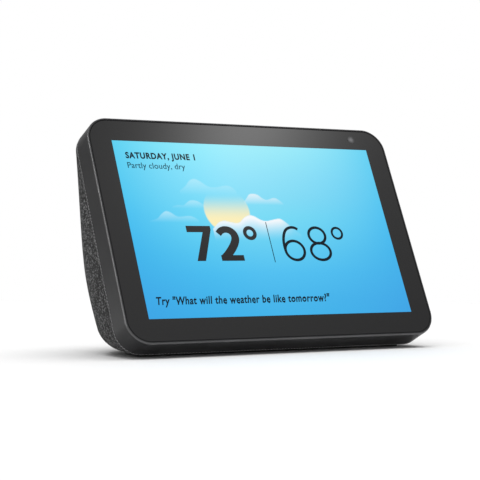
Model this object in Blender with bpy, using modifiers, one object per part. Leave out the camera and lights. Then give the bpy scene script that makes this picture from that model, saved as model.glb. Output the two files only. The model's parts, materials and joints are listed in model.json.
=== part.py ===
"""Smart display: an 8 inch touch screen slab that leans back on a fabric-covered speaker body.

World frame: +Z up, the screen faces -Y, origin on the table under the middle of the object's box.
Slab pieces are children of the empty panel_axes, at the middle of the screen's front plane. In its
frame x runs along the screen's width, y up its face, and a depth s behind the front plane is z = -s.
"""

import math

import bmesh
import bpy
from mathutils import Matrix, Vector

MM = 0.001

# Slab: the front frame and the screen
TILT = math.radians(25.3)
PANEL_WIDTH = 200.4 * MM
PANEL_HEIGHT = 135.7 * MM
PANEL_CORNER = 13.8 * MM
PANEL_DEPTH = 15.0 * MM
FRAME_WALL = 2.4 * MM
FRAME_EDGE_ROUND = 0.5 * MM
FRAME_REAR_ROUND = 0.3 * MM
FRAME_LIFT = 1.45 * MM  # the frame's lowest edge above the table
EDGE_LIP = 1.3 * MM  # frame seen round the glass
GLASS_RECESS = 0.15 * MM
GLASS_THICKNESS = 1.1 * MM
TAPE_THICKNESS = 0.35 * MM
LEDGE_WIDTH = 4.2 * MM
LEDGE_THICKNESS = 1.5 * MM
ACTIVE_WIDTH = 171.7 * MM
ACTIVE_HEIGHT = 107.3 * MM
LCD_BORDER = 2.2 * MM
LCD_THICKNESS = 2.2 * MM
TRAY_THICKNESS = 1.4 * MM
MID_PLATE_THICKNESS = 1.2 * MM

# Clearances
TOUCH_GAP = 0.3 * MM  # between two pieces that rest on each other
FIT_GAP = 0.25 * MM
LOOSE_GAP = 0.4 * MM
OVERLAP = 1.0 * MM  # how far joined shapes reach into each other

# Buttons and shutter on the slab's top wall
BUTTON_DEPTH = 8.6 * MM  # behind the front plane
BUTTON_PITCH = 17.0 * MM
BUTTON_LENGTH = 11.0 * MM
BUTTON_WIDTH = 4.6 * MM
BUTTON_PROUD = 0.7 * MM
BUTTON_TRAVEL = 0.4 * MM
BUTTON_FLANGE = 0.9 * MM
PLUNGER_RADIUS = 1.0 * MM
PLUNGER_LENGTH = 1.5 * MM
SWITCH_SIDE = 4.6 * MM
SWITCH_HEIGHT = 1.8 * MM
BOARD_THICKNESS = 1.0 * MM
CAMERA_X = 76.7 * MM
CAMERA_BELOW_TOP = 7.35 * MM
CAMERA_SIDE = 6.4 * MM
CAMERA_THICKNESS = 3.4 * MM
RIBBON_THICKNESS = 0.3 * MM
LENS_RADIUS = 2.0 * MM
BLADE_WIDTH = 8.0 * MM
BLADE_THICKNESS = 0.4 * MM
SHUTTER_TRAVEL = 5.0 * MM
SHUTTER_DEPTH = 6.6 * MM
KNOB_LENGTH = 12.0 * MM
KNOB_WIDTH = 4.0 * MM
KNOB_RECESS = 0.8 * MM
KNOB_PROUD = 0.5 * MM
STEM_LENGTH = 2.6 * MM
STEM_WIDTH = 2.2 * MM
MIC_HOLE_RADIUS = 0.6 * MM
MIC_BOARD_X = 42.0 * MM
MIC_SPACING = 16.0 * MM

# Rear body
BODY_DEPTH = 99.1 * MM  # front edge of the slab to the back of the fabric
BODY_INSET = 0.4 * MM  # fabric inside the frame's outline at the seam
SEAM_GAP = 0.3 * MM
BODY_BOTTOM = 2.2 * MM
BULGE_HEIGHT = 54.0 * MM  # where the back is deepest
BASE_REAR_Y = 27.0 * MM
TOP_PULL = 14.0 * MM  # Bezier handle lengths of the side profile
BULGE_PULL_UP = 20.0 * MM
BULGE_PULL_DOWN = 34.0 * MM
BASE_PULL = 10.0 * MM
SECTION_POWER = 3.0
BASE_SECTION_POWER = 2.5
SECTION_BLEND_HEIGHT = 50.0 * MM
FABRIC_THICKNESS = 0.9 * MM
HOUSING_GAP = 0.4 * MM
HOUSING_WALL = 2.0 * MM
BODY_ROWS = 10  # on each half of the side profile
BODY_COLUMNS = 28

# Base
FOOT_THICKNESS = 1.0 * MM
BASE_PLATE_THICKNESS = 1.9 * MM
BASE_MARGIN = 1.2 * MM
FOOT_MARGIN = 5.0 * MM
FLOOR_THICKNESS = 2.2 * MM
FLOOR_RAISE = 0.3 * MM  # above the lower edge of the housing's wall
BASE_SCREW_LENGTH = 9.0 * MM
BASE_SCREW_FRONT = (60.0 * MM, -22.0 * MM)
BASE_SCREW_REAR = (52.0 * MM, 10.0 * MM)

# Case screws that clamp mid plate, frame lugs and housing posts together
CASE_SCREW_X = 84.0 * MM
CASE_SCREW_Y = 46.0 * MM
SCREW_SHANK = 1.25 * MM
SCREW_HEAD = 2.4 * MM
SCREW_HEAD_HEIGHT = 1.0 * MM
POST_RADIUS = 3.4 * MM
LUG_THICKNESS = 1.6 * MM

# Speaker box and drivers
BOX_HALF_WIDTH = 77.0 * MM
BOX_WALL = 2.0 * MM
BOX_BOTTOM = 29.0 * MM
BOX_TOP = 85.0 * MM
BOX_REAR_CLEARANCE = 12.5 * MM  # behind the box to the fabric's deepest point
BOX_FRONT_DEPTH = 24.0 * MM  # behind the slab's front plane
WING_YAW = math.radians(12.0)
CENTRE_FACE_HALF = 22.0 * MM
DRIVER_RADIUS = 26.0 * MM
DRIVER_FLANGE = 2.0 * MM
DRIVER_HEIGHT = 57.0 * MM
CONE_RADIUS = 19.0 * MM
CONE_EXCURSION = 2.0 * MM
MAGNET_RADIUS = 14.0 * MM
BASKET_DEPTH = 12.0 * MM
MAGNET_LENGTH = 9.5 * MM
RADIATOR_RADIUS = 19.5 * MM
RADIATOR_PLATE_RADIUS = 13.5 * MM

LEAD_X = 46.0 * MM
LEAD_Y = -12.0 * MM
LEAD_RADIUS = 0.9 * MM

# Electronics behind the mid plate
MAINBOARD_LEFT = -62.0 * MM
MAINBOARD_RIGHT = 82.0 * MM
MAINBOARD_BOTTOM = -38.0 * MM
MAINBOARD_TOP = 26.0 * MM
MAINBOARD_THICKNESS = 1.2 * MM
STANDOFF_HEIGHT = 2.2 * MM
SHIELD_SIDE = 32.0 * MM
SHIELD_HEIGHT = 1.8 * MM
STAKE_RADIUS = 1.2 * MM
STAKE_PROUD = 0.8 * MM
SPREADER_BASE = 1.5 * MM
FIN_HEIGHT = 4.5 * MM
FIN_COUNT = 7

# Connectors low on the back
PORT_HEIGHT = 18.5 * MM
PORT_WIDTH = 46.0 * MM
PORT_TALL = 13.0 * MM
PORT_RECESS = 1.1 * MM
PORT_PLATE_THICKNESS = 1.8 * MM
POWER_X = -14.0 * MM
AUDIO_X = 13.5 * MM
POWER_HOLE = 3.5 * MM
POWER_BORE = 2.8 * MM
POWER_PIN = 1.0 * MM
AUDIO_HOLE = 3.1 * MM
AUDIO_BORE = 1.8 * MM
USB_WIDTH = 7.6 * MM
USB_TALL = 2.8 * MM

ROUND_STEPS = 32
SMALL_STEPS = 16

# Positions that follow from the sizes above
HALF_W = PANEL_WIDTH / 2
HALF_H = PANEL_HEIGHT / 2
SIN_T, COS_T = math.sin(TILT), math.cos(TILT)
PANEL_Z = FRAME_LIFT + HALF_H * COS_T + PANEL_DEPTH * SIN_T
PANEL_Y = HALF_H * SIN_T - FRAME_EDGE_ROUND * (SIN_T + COS_T - 1) - BODY_DEPTH / 2
BULGE_Y = BODY_DEPTH / 2
RIM_DEPTH = PANEL_DEPTH + SEAM_GAP
GLASS_BACK = GLASS_RECESS + GLASS_THICKNESS
LEDGE_FRONT = GLASS_BACK + TAPE_THICKNESS + 2 * TOUCH_GAP
LEDGE_BACK = LEDGE_FRONT + LEDGE_THICKNESS
LCD_FRONT = GLASS_BACK + TOUCH_GAP
LCD_BACK = LCD_FRONT + LCD_THICKNESS
TRAY_BACK = LCD_BACK + TOUCH_GAP + TRAY_THICKNESS
MID_FRONT = TRAY_BACK + SCREW_HEAD_HEIGHT + 2 * LOOSE_GAP
MID_BACK = MID_FRONT + MID_PLATE_THICKNESS
LUG_FRONT = MID_BACK + TOUCH_GAP
LUG_BACK = LUG_FRONT + LUG_THICKNESS
INNER_TOP = HALF_H - FRAME_WALL
CAMERA_Y = HALF_H - CAMERA_BELOW_TOP
BOARD_FRONT = MID_BACK + STANDOFF_HEIGHT + TOUCH_GAP
BOARD_BACK = BOARD_FRONT + MAINBOARD_THICKNESS
FLOOR_BOTTOM = BODY_BOTTOM + FABRIC_THICKNESS + HOUSING_GAP + FLOOR_RAISE
FLOOR_TOP = FLOOR_BOTTOM + FLOOR_THICKNESS
BOX_REAR_Y = BULGE_Y - BOX_REAR_CLEARANCE


# ---------------------------------------------------------------- scene and materials


def clear_scene():
    for found in list(bpy.data.objects):
        bpy.data.objects.remove(found)


clear_scene()
display = bpy.data.collections.new("smart_display")
cutters = bpy.data.collections.new("cutters")
bpy.context.scene.collection.children.link(display)
bpy.context.scene.collection.children.link(cutters)


def material(name, colour, roughness, metallic=0.0):
    made = bpy.data.materials.new(name)
    made.use_nodes = True
    shader = made.node_tree.nodes["Principled BSDF"]
    shader.inputs["Base Color"].default_value = (*colour, 1.0)
    shader.inputs["Roughness"].default_value = roughness
    shader.inputs["Metallic"].default_value = metallic
    return made


CHARCOAL = material("charcoal_plastic", (0.045, 0.045, 0.048), 0.38)
BLACK_PLASTIC = material("black_plastic", (0.02, 0.02, 0.022), 0.5)
GLASS = material("black_glass", (0.012, 0.012, 0.013), 0.06)
FABRIC = material("charcoal_fabric", (0.05, 0.05, 0.053), 0.95)
RUBBER = material("rubber", (0.02, 0.02, 0.02), 0.85)
TAPE = material("foam_tape", (0.03, 0.03, 0.03), 0.9)
LCD = material("lcd_glass", (0.1, 0.45, 0.75), 0.2)
STEEL = material("steel", (0.55, 0.55, 0.57), 0.35, 1.0)
ALUMINIUM = material("aluminium", (0.7, 0.7, 0.72), 0.4, 1.0)
BOARD = material("circuit_board", (0.02, 0.12, 0.06), 0.5)
RIBBON = material("ribbon_cable", (0.35, 0.16, 0.03), 0.5)
PAPER = material("cone_paper", (0.06, 0.06, 0.06), 0.8)
LENS = material("lens_glass", (0.02, 0.02, 0.04), 0.05)


# ---------------------------------------------------------------- building helpers


def axes(name, location, rotation, parent=None):
    empty = bpy.data.objects.new(name, None)
    empty.location = location
    empty.rotation_euler = rotation
    empty.parent = parent
    display.objects.link(empty)
    return empty


def place(name, mesh, finish, parent=None, location=(0, 0, 0), rotation=(0, 0, 0)):
    """Links a mesh as a piece, or as a hidden wire helper where finish is None."""
    piece = bpy.data.objects.new(name, mesh)
    piece.location = location
    piece.rotation_euler = rotation
    piece.parent = parent
    if finish is None:
        cutters.objects.link(piece)
        piece.hide_render = True
        piece.display_type = "WIRE"
    else:
        display.objects.link(piece)
        mesh.materials.append(finish)
    return piece


def box(name, finish, low, high, parent=None):
    """A box from its lowest to its highest corner."""
    low, high = Vector(low), Vector(high)
    mesh = bpy.data.meshes.new(name)
    form = bmesh.new()
    bmesh.ops.create_cube(form, size=1.0)
    bmesh.ops.scale(form, vec=high - low, verts=form.verts)
    form.to_mesh(mesh)
    form.free()
    return place(name, mesh, finish, parent, (low + high) / 2)


def slab_box(name, finish, x, y, s):
    """A box on the slab, from ranges along its width, up its face and behind its front plane."""
    return box(name, finish, (x[0], y[0], -s[1]), (x[1], y[1], -s[0]), panel)


def cylinders(name, finish, radius, length, centres, parent=None, rotation=(0, 0, 0), steps=SMALL_STEPS):
    """One or more equal cylinders along the local z axis, centred on the given points."""
    mesh = bpy.data.meshes.new(name)
    form = bmesh.new()
    turn = Matrix.Rotation(rotation[0], 4, "X")
    for centre in centres:
        bmesh.ops.create_cone(
            form,
            cap_ends=True,
            segments=steps,
            radius1=radius,
            radius2=radius,
            depth=length,
            matrix=Matrix.Translation(centre) @ turn,
        )
    form.to_mesh(mesh)
    form.free()
    return place(name, mesh, finish, parent)


def turned(name, finish, profile, parent=None, location=(0, 0, 0), rotation=(0, 0, 0), ring=False, steps=ROUND_STEPS):
    """A profile of (radius, height) points, outer side from top to bottom, turned about the local z axis."""
    mesh = bpy.data.meshes.new(name)
    edges = [(i, i + 1) for i in range(len(profile) - 1)]
    if ring:
        edges.append((len(profile) - 1, 0))
    mesh.from_pydata([(radius, 0, height) for radius, height in profile], edges, [])
    piece = place(name, mesh, finish, parent, location, rotation)
    lathe = piece.modifiers.new("lathe", "SCREW")
    lathe.steps = steps
    lathe.render_steps = steps
    lathe.use_merge_vertices = True
    lathe.merge_threshold = 0.00001
    return piece


def rounded_outline(half_width, half_height, radius, centre=(0, 0), steps=6):
    """Counter-clockwise points of a rectangle with round corners."""
    points = []
    for corner, (sx, sy) in enumerate([(1, 1), (-1, 1), (-1, -1), (1, -1)]):
        for step in range(steps + 1):
            angle = (corner + step / steps) * math.pi / 2
            points.append(
                (
                    centre[0] + sx * (half_width - radius) + radius * math.cos(angle),
                    centre[1] + sy * (half_height - radius) + radius * math.sin(angle),
                )
            )
    return points


def plate(name, finish, outlines, thickness, parent=None, location=(0, 0, 0), rotation=(0, 0, 0)):
    """A flat piece from one outer outline and any holes, centred on its thickness, as a welded mesh."""
    curve = bpy.data.curves.new(name, "CURVE")
    curve.dimensions = "2D"
    curve.fill_mode = "BOTH"
    curve.extrude = thickness / 2
    for outline in outlines:
        spline = curve.splines.new("POLY")
        spline.points.add(len(outline) - 1)
        for point, (x, y) in zip(spline.points, outline):
            point.co = (x, y, 0, 1)
        spline.use_cyclic_u = True
    guide = bpy.data.objects.new(name + "_curve", curve)
    bpy.context.scene.collection.objects.link(guide)
    graph = bpy.context.evaluated_depsgraph_get()
    mesh = bpy.data.meshes.new_from_object(guide.evaluated_get(graph))
    bpy.data.objects.remove(guide)
    form = bmesh.new()
    form.from_mesh(mesh)
    bmesh.ops.remove_doubles(form, verts=form.verts, dist=0.000001)
    bmesh.ops.recalc_face_normals(form, faces=form.faces)
    bmesh.ops.dissolve_limit(form, angle_limit=math.radians(0.2), verts=form.verts, edges=form.edges)
    form.to_mesh(mesh)
    form.free()
    mesh.materials.clear()
    return place(name, mesh, finish, parent, location, rotation)


def slab_plate(name, finish, outlines, s_front, s_back):
    """A plate parallel to the screen between two depths behind the front plane."""
    return plate(name, finish, outlines, s_back - s_front, panel, (0, 0, -(s_front + s_back) / 2))


def combine(piece, helper, operation):
    step = piece.modifiers.new(operation.lower() + "_" + helper.name, "BOOLEAN")
    step.operation = operation
    step.object = helper
    step.solver = "EXACT"


def cut(piece, *helpers):
    for helper in helpers:
        combine(piece, helper, "DIFFERENCE")


def join(piece, *helpers):
    for helper in helpers:
        combine(piece, helper, "UNION")


def ribbon(name, finish, path, width, parent, x):
    """A flat cable: a strip across x that follows (y, z) points, with Solidify for its thickness."""
    mesh = bpy.data.meshes.new(name)
    points = []
    for y, z in path:
        points += [(x - width / 2, y, z), (x + width / 2, y, z)]
    faces = [(2 * i, 2 * i + 1, 2 * i + 3, 2 * i + 2) for i in range(len(path) - 1)]
    mesh.from_pydata(points, [], faces)
    piece = place(name, mesh, finish, parent)
    skin = piece.modifiers.new("thickness", "SOLIDIFY")
    skin.thickness = RIBBON_THICKNESS
    skin.offset = 0
    return piece


def wire(name, finish, points, radius):
    """A round lead along a curve through world points."""
    curve = bpy.data.curves.new(name, "CURVE")
    curve.dimensions = "3D"
    curve.bevel_depth = radius
    curve.bevel_resolution = 2
    curve.use_fill_caps = True
    spline = curve.splines.new("POLY")
    spline.points.add(len(points) - 1)
    for point, co in zip(spline.points, points):
        point.co = (*co, 1)
    curve.materials.append(finish)
    piece = bpy.data.objects.new(name, curve)
    display.objects.link(piece)
    return piece


def screw(name, parent, location, length, rotation=(0, 0, 0)):
    """A pan head screw whose head faces local +z and whose seat is at its location."""
    socket = SCREW_HEAD * 0.45
    top = SCREW_HEAD_HEIGHT
    profile = [
        (0, top * 0.4),
        (socket, top * 0.4),
        (socket, top),
        (SCREW_HEAD * 0.85, top),
        (SCREW_HEAD, top * 0.7),
        (SCREW_HEAD, 0),
        (SCREW_SHANK, 0),
        (SCREW_SHANK, -length + SCREW_SHANK),
        (0, -length),
    ]
    return turned(name, STEEL, profile, parent, location, rotation, steps=SMALL_STEPS)


# ---------------------------------------------------------------- frames and body shape

panel = axes("panel_axes", (0, PANEL_Y, PANEL_Z), (math.pi / 2 - TILT, 0, 0))


def slab_to_world(x, y, s):
    return Vector((x, PANEL_Y + y * SIN_T + s * COS_T, PANEL_Z + y * COS_T - s * SIN_T))


def slab_plane_y(height, s):
    """World y of the plane at depth s behind the screen's front, at a height."""
    return PANEL_Y + (height - PANEL_Z) * math.tan(TILT) + s / COS_T


def bezier(a, b, c, d, t):
    return (1 - t) ** 3 * a + 3 * t * (1 - t) ** 2 * b + 3 * t * t * (1 - t) * c + t**3 * d


def side_profile(inset):
    """Middle section of the rear body as (y, z), from the slab's top edge to the base, moved in by inset."""
    top = slab_to_world(0, HALF_H - BODY_INSET, RIM_DEPTH).yz
    back = Vector((BULGE_Y, BULGE_HEIGHT))
    base = Vector((BASE_REAR_Y, BODY_BOTTOM))
    inwards = Vector((COS_T, -SIN_T))
    halves = [
        (top, top + TOP_PULL * inwards, back + Vector((0, BULGE_PULL_UP)), back),
        (back, back - Vector((0, BULGE_PULL_DOWN)), base + Vector((BASE_PULL, 0)), base),
    ]
    points = []
    for number, (a, b, c, d) in enumerate(halves):
        for row in range(number, BODY_ROWS + 1):
            t = row / BODY_ROWS
            slope = 3 * ((1 - t) ** 2 * (b - a) + 2 * t * (1 - t) * (c - b) + t * t * (d - c))
            normal = Vector((slope.y, -slope.x)).normalized()
            points.append(bezier(a, b, c, d, t) + inset * normal)
    return points


def slab_half_width(height, inset):
    """Half width of the slab's round-cornered outline, moved in, where a height crosses the seam plane."""
    radius = PANEL_CORNER - BODY_INSET - inset
    y = (height - PANEL_Z + RIM_DEPTH * SIN_T) / COS_T
    into_corner = abs(y) - (HALF_H - PANEL_CORNER)
    into_corner = min(max(into_corner, 0.0), radius)
    return HALF_W - PANEL_CORNER + math.sqrt(radius**2 - into_corner**2)


def body_section(y_back, height, inset, columns):
    """Half superellipse at one height, from the slab's left edge round the back to its right edge."""
    y_front = slab_plane_y(height, RIM_DEPTH)
    depth = max(y_back - y_front, 0.0)
    width = slab_half_width(height, inset)
    blend = min(max((height - BODY_BOTTOM) / (SECTION_BLEND_HEIGHT - BODY_BOTTOM), 0.0), 1.0)
    blend = blend * blend * (3 - 2 * blend)
    power = BASE_SECTION_POWER + (SECTION_POWER - BASE_SECTION_POWER) * blend
    points = []
    for column in range(columns + 1):
        angle = math.pi * column / columns
        across, along = math.cos(angle), math.sin(angle)
        x = -width * math.copysign(abs(across) ** (2 / power), across)
        points.append((x, y_front + depth * max(along, 0.0) ** (2 / power), height))
    return points


def body_form(name, finish, inset, reach=0.0):
    """The rear body at an inset as a closed loft. A reach carries its seam and base on outwards, for a cutter."""
    rows = [[Vector(point) for point in body_section(p.x, p.y, inset, BODY_COLUMNS)] for p in side_profile(inset)]
    if reach:
        forward = reach * Vector((0, -COS_T, SIN_T))
        seam = [rows[0], *([row[0], row[-1]] for row in rows[1:])]
        rows = [[row[0] + forward, *row, row[-1] + forward] for row in rows]
        rows.insert(0, [rows[0][0], *(point + forward for point in seam[0]), rows[0][-1]])
        for point in [point for points in seam for point in points]:
            point -= forward / 9
        rows.append([point - Vector((0, inset, reach)) for point in rows[-1]])
    across = len(rows[0])
    faces = [[(len(rows) - 1) * across + c for c in range(across)], [*range(across), 2 * across - 1, across]]
    for r in range(len(rows) - 1):
        for c in range(across if r else across - 1):
            corner, beside = r * across + c, r * across + (c + 1) % across
            faces.append((corner, beside, beside + across, corner + across))
    mesh = bpy.data.meshes.new(name)
    mesh.from_pydata([point for row in rows for point in row], [], faces)
    form = bmesh.new()
    form.from_mesh(mesh)
    bmesh.ops.remove_doubles(form, verts=form.verts, dist=0.000001)
    bmesh.ops.recalc_face_normals(form, faces=form.faces)
    form.to_mesh(mesh)
    form.free()
    return place(name, mesh, finish)


def body_shell(name, finish, inset, thickness):
    """The rear body's wall from an inset inwards, open at the slab and at the base."""
    shell = body_form(name, finish, inset)
    cut(shell, body_form(name + "_hollow", None, inset + thickness, 3 * thickness))
    return shell


def base_outline(margin, y_front):
    """Outline of the body's bottom opening moved in by a margin, with a straight front edge."""
    outer = body_section(BASE_REAR_Y - margin, BODY_BOTTOM, 0.0, BODY_COLUMNS)
    half = max(point[0] for point in outer)
    shrink = (half - margin) / half
    kept = [(x * shrink, y) for x, y, _ in outer if y > y_front]
    return [(kept[-1][0], y_front), *reversed(kept), (kept[0][0], y_front)]


# ---------------------------------------------------------------- front frame


def button_xs():
    return {
        "mic_camera_off": -BUTTON_PITCH,
        "volume_down": 0.0,
        "volume_up": BUTTON_PITCH,
    }


def make_front_frame():
    frame = slab_plate("front_frame", CHARCOAL, [rounded_outline(HALF_W, HALF_H, PANEL_CORNER, steps=8)], 0, PANEL_DEPTH)
    weights = frame.data.attributes.new("bevel_weight_edge", "FLOAT", "EDGE")
    for edge in frame.data.edges:
        heights = [frame.data.vertices[v].co.z for v in edge.vertices]
        if heights[0] * heights[1] > 0:
            weights.data[edge.index].value = 1.0 if heights[0] > 0 else FRAME_REAR_ROUND / FRAME_EDGE_ROUND
    rounding = frame.modifiers.new("edges", "BEVEL")
    rounding.width = FRAME_EDGE_ROUND
    rounding.segments = 3
    rounding.limit_method = "WEIGHT"

    def pocket(name, margin, s_front, s_back):
        outline = rounded_outline(HALF_W - margin, HALF_H - margin, PANEL_CORNER - margin, steps=8)
        return slab_plate(name, None, [outline], s_front, s_back)

    ledge_margin = EDGE_LIP + LEDGE_WIDTH
    cut(
        frame,
        pocket("glass_pocket", EDGE_LIP, -OVERLAP, LEDGE_FRONT),
        pocket("ledge_opening", ledge_margin, LEDGE_FRONT - OVERLAP, LEDGE_BACK + OVERLAP),
        pocket("rear_cavity", FRAME_WALL, LEDGE_BACK, PANEL_DEPTH + OVERLAP),
    )
    notch_x = (CAMERA_X - 1.8 * BLADE_WIDTH, CAMERA_X + 1.2 * BLADE_WIDTH)
    notch_s = (LEDGE_FRONT - OVERLAP / 2, LEDGE_BACK + OVERLAP)
    cut(frame, slab_box("camera_notch", None, notch_x, (HALF_H - ledge_margin - OVERLAP, INNER_TOP), notch_s))
    for side_x in (-1, 1):
        for side_y in (-1, 1):
            lug_x = sorted((side_x * (CASE_SCREW_X - 2 * SCREW_HEAD), side_x * (HALF_W - FRAME_WALL / 2)))
            lug_y = (side_y * CASE_SCREW_Y - 2 * SCREW_HEAD, side_y * CASE_SCREW_Y + 2 * SCREW_HEAD)
            lug = slab_box(f"lug_{side_x}_{side_y}", None, lug_x, lug_y, (LUG_FRONT, LUG_BACK))
            join(frame, lug)
    for side in (-1, 1):
        rib_x = sorted((side * (BUTTON_PITCH + 9 * MM), side * (BUTTON_PITCH + 11 * MM)))
        rib_s = (BUTTON_DEPTH - 2 * MM, BUTTON_DEPTH + 2 * MM)
        rib = slab_box(f"rib_{side}", None, rib_x, (button_board_top() + TOUCH_GAP, INNER_TOP + OVERLAP), rib_s)
        join(frame, rib)
    centres = [(x * CASE_SCREW_X, y * CASE_SCREW_Y, -(LUG_FRONT + LUG_BACK) / 2) for x in (-1, 1) for y in (-1, 1)]
    cut(frame, cylinders("lug_holes", None, SCREW_SHANK + LOOSE_GAP, 3 * LUG_THICKNESS, centres, panel))
    wall_middle = HALF_H - FRAME_WALL / 2
    for name, x in button_xs().items():
        outline = rounded_outline(BUTTON_LENGTH / 2 + FIT_GAP, BUTTON_WIDTH / 2 + FIT_GAP, BUTTON_WIDTH / 2, (x, 0))
        cut(frame, top_wall_cutter(name + "_hole", outline, BUTTON_DEPTH, wall_middle, 2 * FRAME_WALL))
    knob_x = shutter_x()
    slot = rounded_outline(
        (STEM_LENGTH + SHUTTER_TRAVEL) / 2 + LOOSE_GAP,
        STEM_WIDTH / 2 + FIT_GAP,
        STEM_WIDTH / 3,
        (knob_x + SHUTTER_TRAVEL / 2, 0),
    )
    cut(frame, top_wall_cutter("shutter_slot", slot, SHUTTER_DEPTH, wall_middle, 2 * FRAME_WALL))
    recess = rounded_outline(
        (KNOB_LENGTH + SHUTTER_TRAVEL) / 2 + LOOSE_GAP,
        KNOB_WIDTH / 2 + FIT_GAP,
        KNOB_WIDTH / 2,
        (knob_x + SHUTTER_TRAVEL / 2, 0),
    )
    cut(frame, top_wall_cutter("knob_recess", recess, SHUTTER_DEPTH, HALF_H - KNOB_RECESS + OVERLAP, 2 * OVERLAP))
    holes = [(x, wall_middle, -BUTTON_DEPTH) for x in mic_xs()]
    cut(frame, cylinders("mic_holes", None, MIC_HOLE_RADIUS, 2 * FRAME_WALL, holes, panel, (math.pi / 2, 0, 0), 10))
    return frame


def top_wall_cutter(name, outline, s, y, thickness):
    """A cutter for the slab's top wall: an outline in (x, depth about s), extruded along the wall's normal."""
    return plate(name, None, [outline], thickness, panel, (0, y, -s), (math.pi / 2, 0, 0))


def mic_xs():
    return [side * MIC_BOARD_X + half * MIC_SPACING / 2 for side in (-1, 1) for half in (-1, 1)]


def shutter_x():
    return CAMERA_X - LENS_RADIUS - BLADE_WIDTH / 2 - FIT_GAP


def button_board_top():
    """Height up the slab of the button board's upper face, worked down from the top wall."""
    return plunger_bottom() - LOOSE_GAP - BUTTON_TRAVEL / 2


def stem_bottom():
    return INNER_TOP - FIT_GAP - BUTTON_FLANGE - BUTTON_TRAVEL - LOOSE_GAP


def plunger_bottom():
    return stem_bottom() - TOUCH_GAP - PLUNGER_LENGTH


# ---------------------------------------------------------------- screen stack


def make_screen():
    glass_margin = EDGE_LIP + FIT_GAP
    outline = rounded_outline(HALF_W - glass_margin, HALF_H - glass_margin, PANEL_CORNER - glass_margin, steps=8)
    slab_plate("cover_glass", GLASS, [outline], GLASS_RECESS, GLASS_BACK)

    inner_margin = EDGE_LIP + LEDGE_WIDTH
    tape_outer = rounded_outline(HALF_W - 2 * glass_margin, HALF_H - 2 * glass_margin, PANEL_CORNER - 2 * glass_margin)
    tape_inner = rounded_outline(HALF_W - inner_margin, HALF_H - inner_margin, PANEL_CORNER - inner_margin)
    tape_front = GLASS_BACK + TOUCH_GAP
    tape = slab_plate("glass_tape", TAPE, [tape_outer, tape_inner], tape_front, tape_front + TAPE_THICKNESS)
    notch_x = (CAMERA_X - 1.8 * BLADE_WIDTH, CAMERA_X + 1.2 * BLADE_WIDTH)
    notch_y = (HALF_H - inner_margin - OVERLAP, HALF_H)
    cut(tape, slab_box("tape_notch", None, notch_x, notch_y, (0, LEDGE_FRONT)))

    half_w = ACTIVE_WIDTH / 2 + LCD_BORDER
    half_h = ACTIVE_HEIGHT / 2 + LCD_BORDER
    slab_box("lcd_panel", LCD, (-half_w, half_w), (-half_h, half_h), (LCD_FRONT, LCD_BACK))
    tray_rim = 0.6 * MM
    tray_s = (LCD_BACK + TOUCH_GAP, TRAY_BACK)
    tray = slab_box(
        "backlight_tray",
        STEEL,
        (-half_w - tray_rim, half_w + tray_rim),
        (-half_h - tray_rim, half_h + tray_rim),
        tray_s,
    )
    emboss_s = (TRAY_BACK - TRAY_THICKNESS / 3, TRAY_BACK + OVERLAP)
    cut(tray, slab_box("tray_emboss", None, (-half_w * 0.8, half_w * 0.8), (-half_h * 0.75, half_h * 0.75), emboss_s))


def make_mid_plate():
    half_w = HALF_W - FRAME_WALL - LOOSE_GAP
    bottom = -(HALF_H - FRAME_WALL - 7 * MM)
    top = CASE_SCREW_Y + 8 * MM
    centre_y, half_h = (bottom + top) / 2, (top - bottom) / 2
    outline = rounded_outline(half_w, half_h, 6 * MM, (0, centre_y))
    vents = [rounded_outline(9 * MM, 14 * MM, 4 * MM, (x * MM, 38 * MM), 4) for x in (-60, -30, 0, 30)]
    mid = slab_plate("mid_plate", STEEL, [outline, *vents], MID_FRONT, MID_BACK)
    standoff_s = (MID_BACK + MID_BACK + STANDOFF_HEIGHT) / 2
    spots = [(x, y, -standoff_s + OVERLAP / 4) for x, y in board_corners()]
    join(mid, cylinders("standoffs", None, 3 * MM, STANDOFF_HEIGHT + OVERLAP / 2, spots, panel))
    pin_length = MAINBOARD_THICKNESS + STANDOFF_HEIGHT
    pins = [(x, y, -(BOARD_BACK + STAKE_PROUD - pin_length / 2)) for x, y in board_corners()]
    join(mid, cylinders("stakes", None, STAKE_RADIUS, pin_length, pins, panel))
    case_spots = [(x * CASE_SCREW_X, y * CASE_SCREW_Y, -MID_FRONT) for x in (-1, 1) for y in (-1, 1)]
    cut(mid, cylinders("case_holes", None, SCREW_SHANK + LOOSE_GAP, 4 * MID_PLATE_THICKNESS, case_spots, panel))


def board_corners():
    edge = 5 * MM
    return [
        (x, y)
        for x in (MAINBOARD_LEFT + edge, MAINBOARD_RIGHT - edge)
        for y in (MAINBOARD_BOTTOM + edge, MAINBOARD_TOP - edge)
    ]


# ---------------------------------------------------------------- electronics


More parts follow.
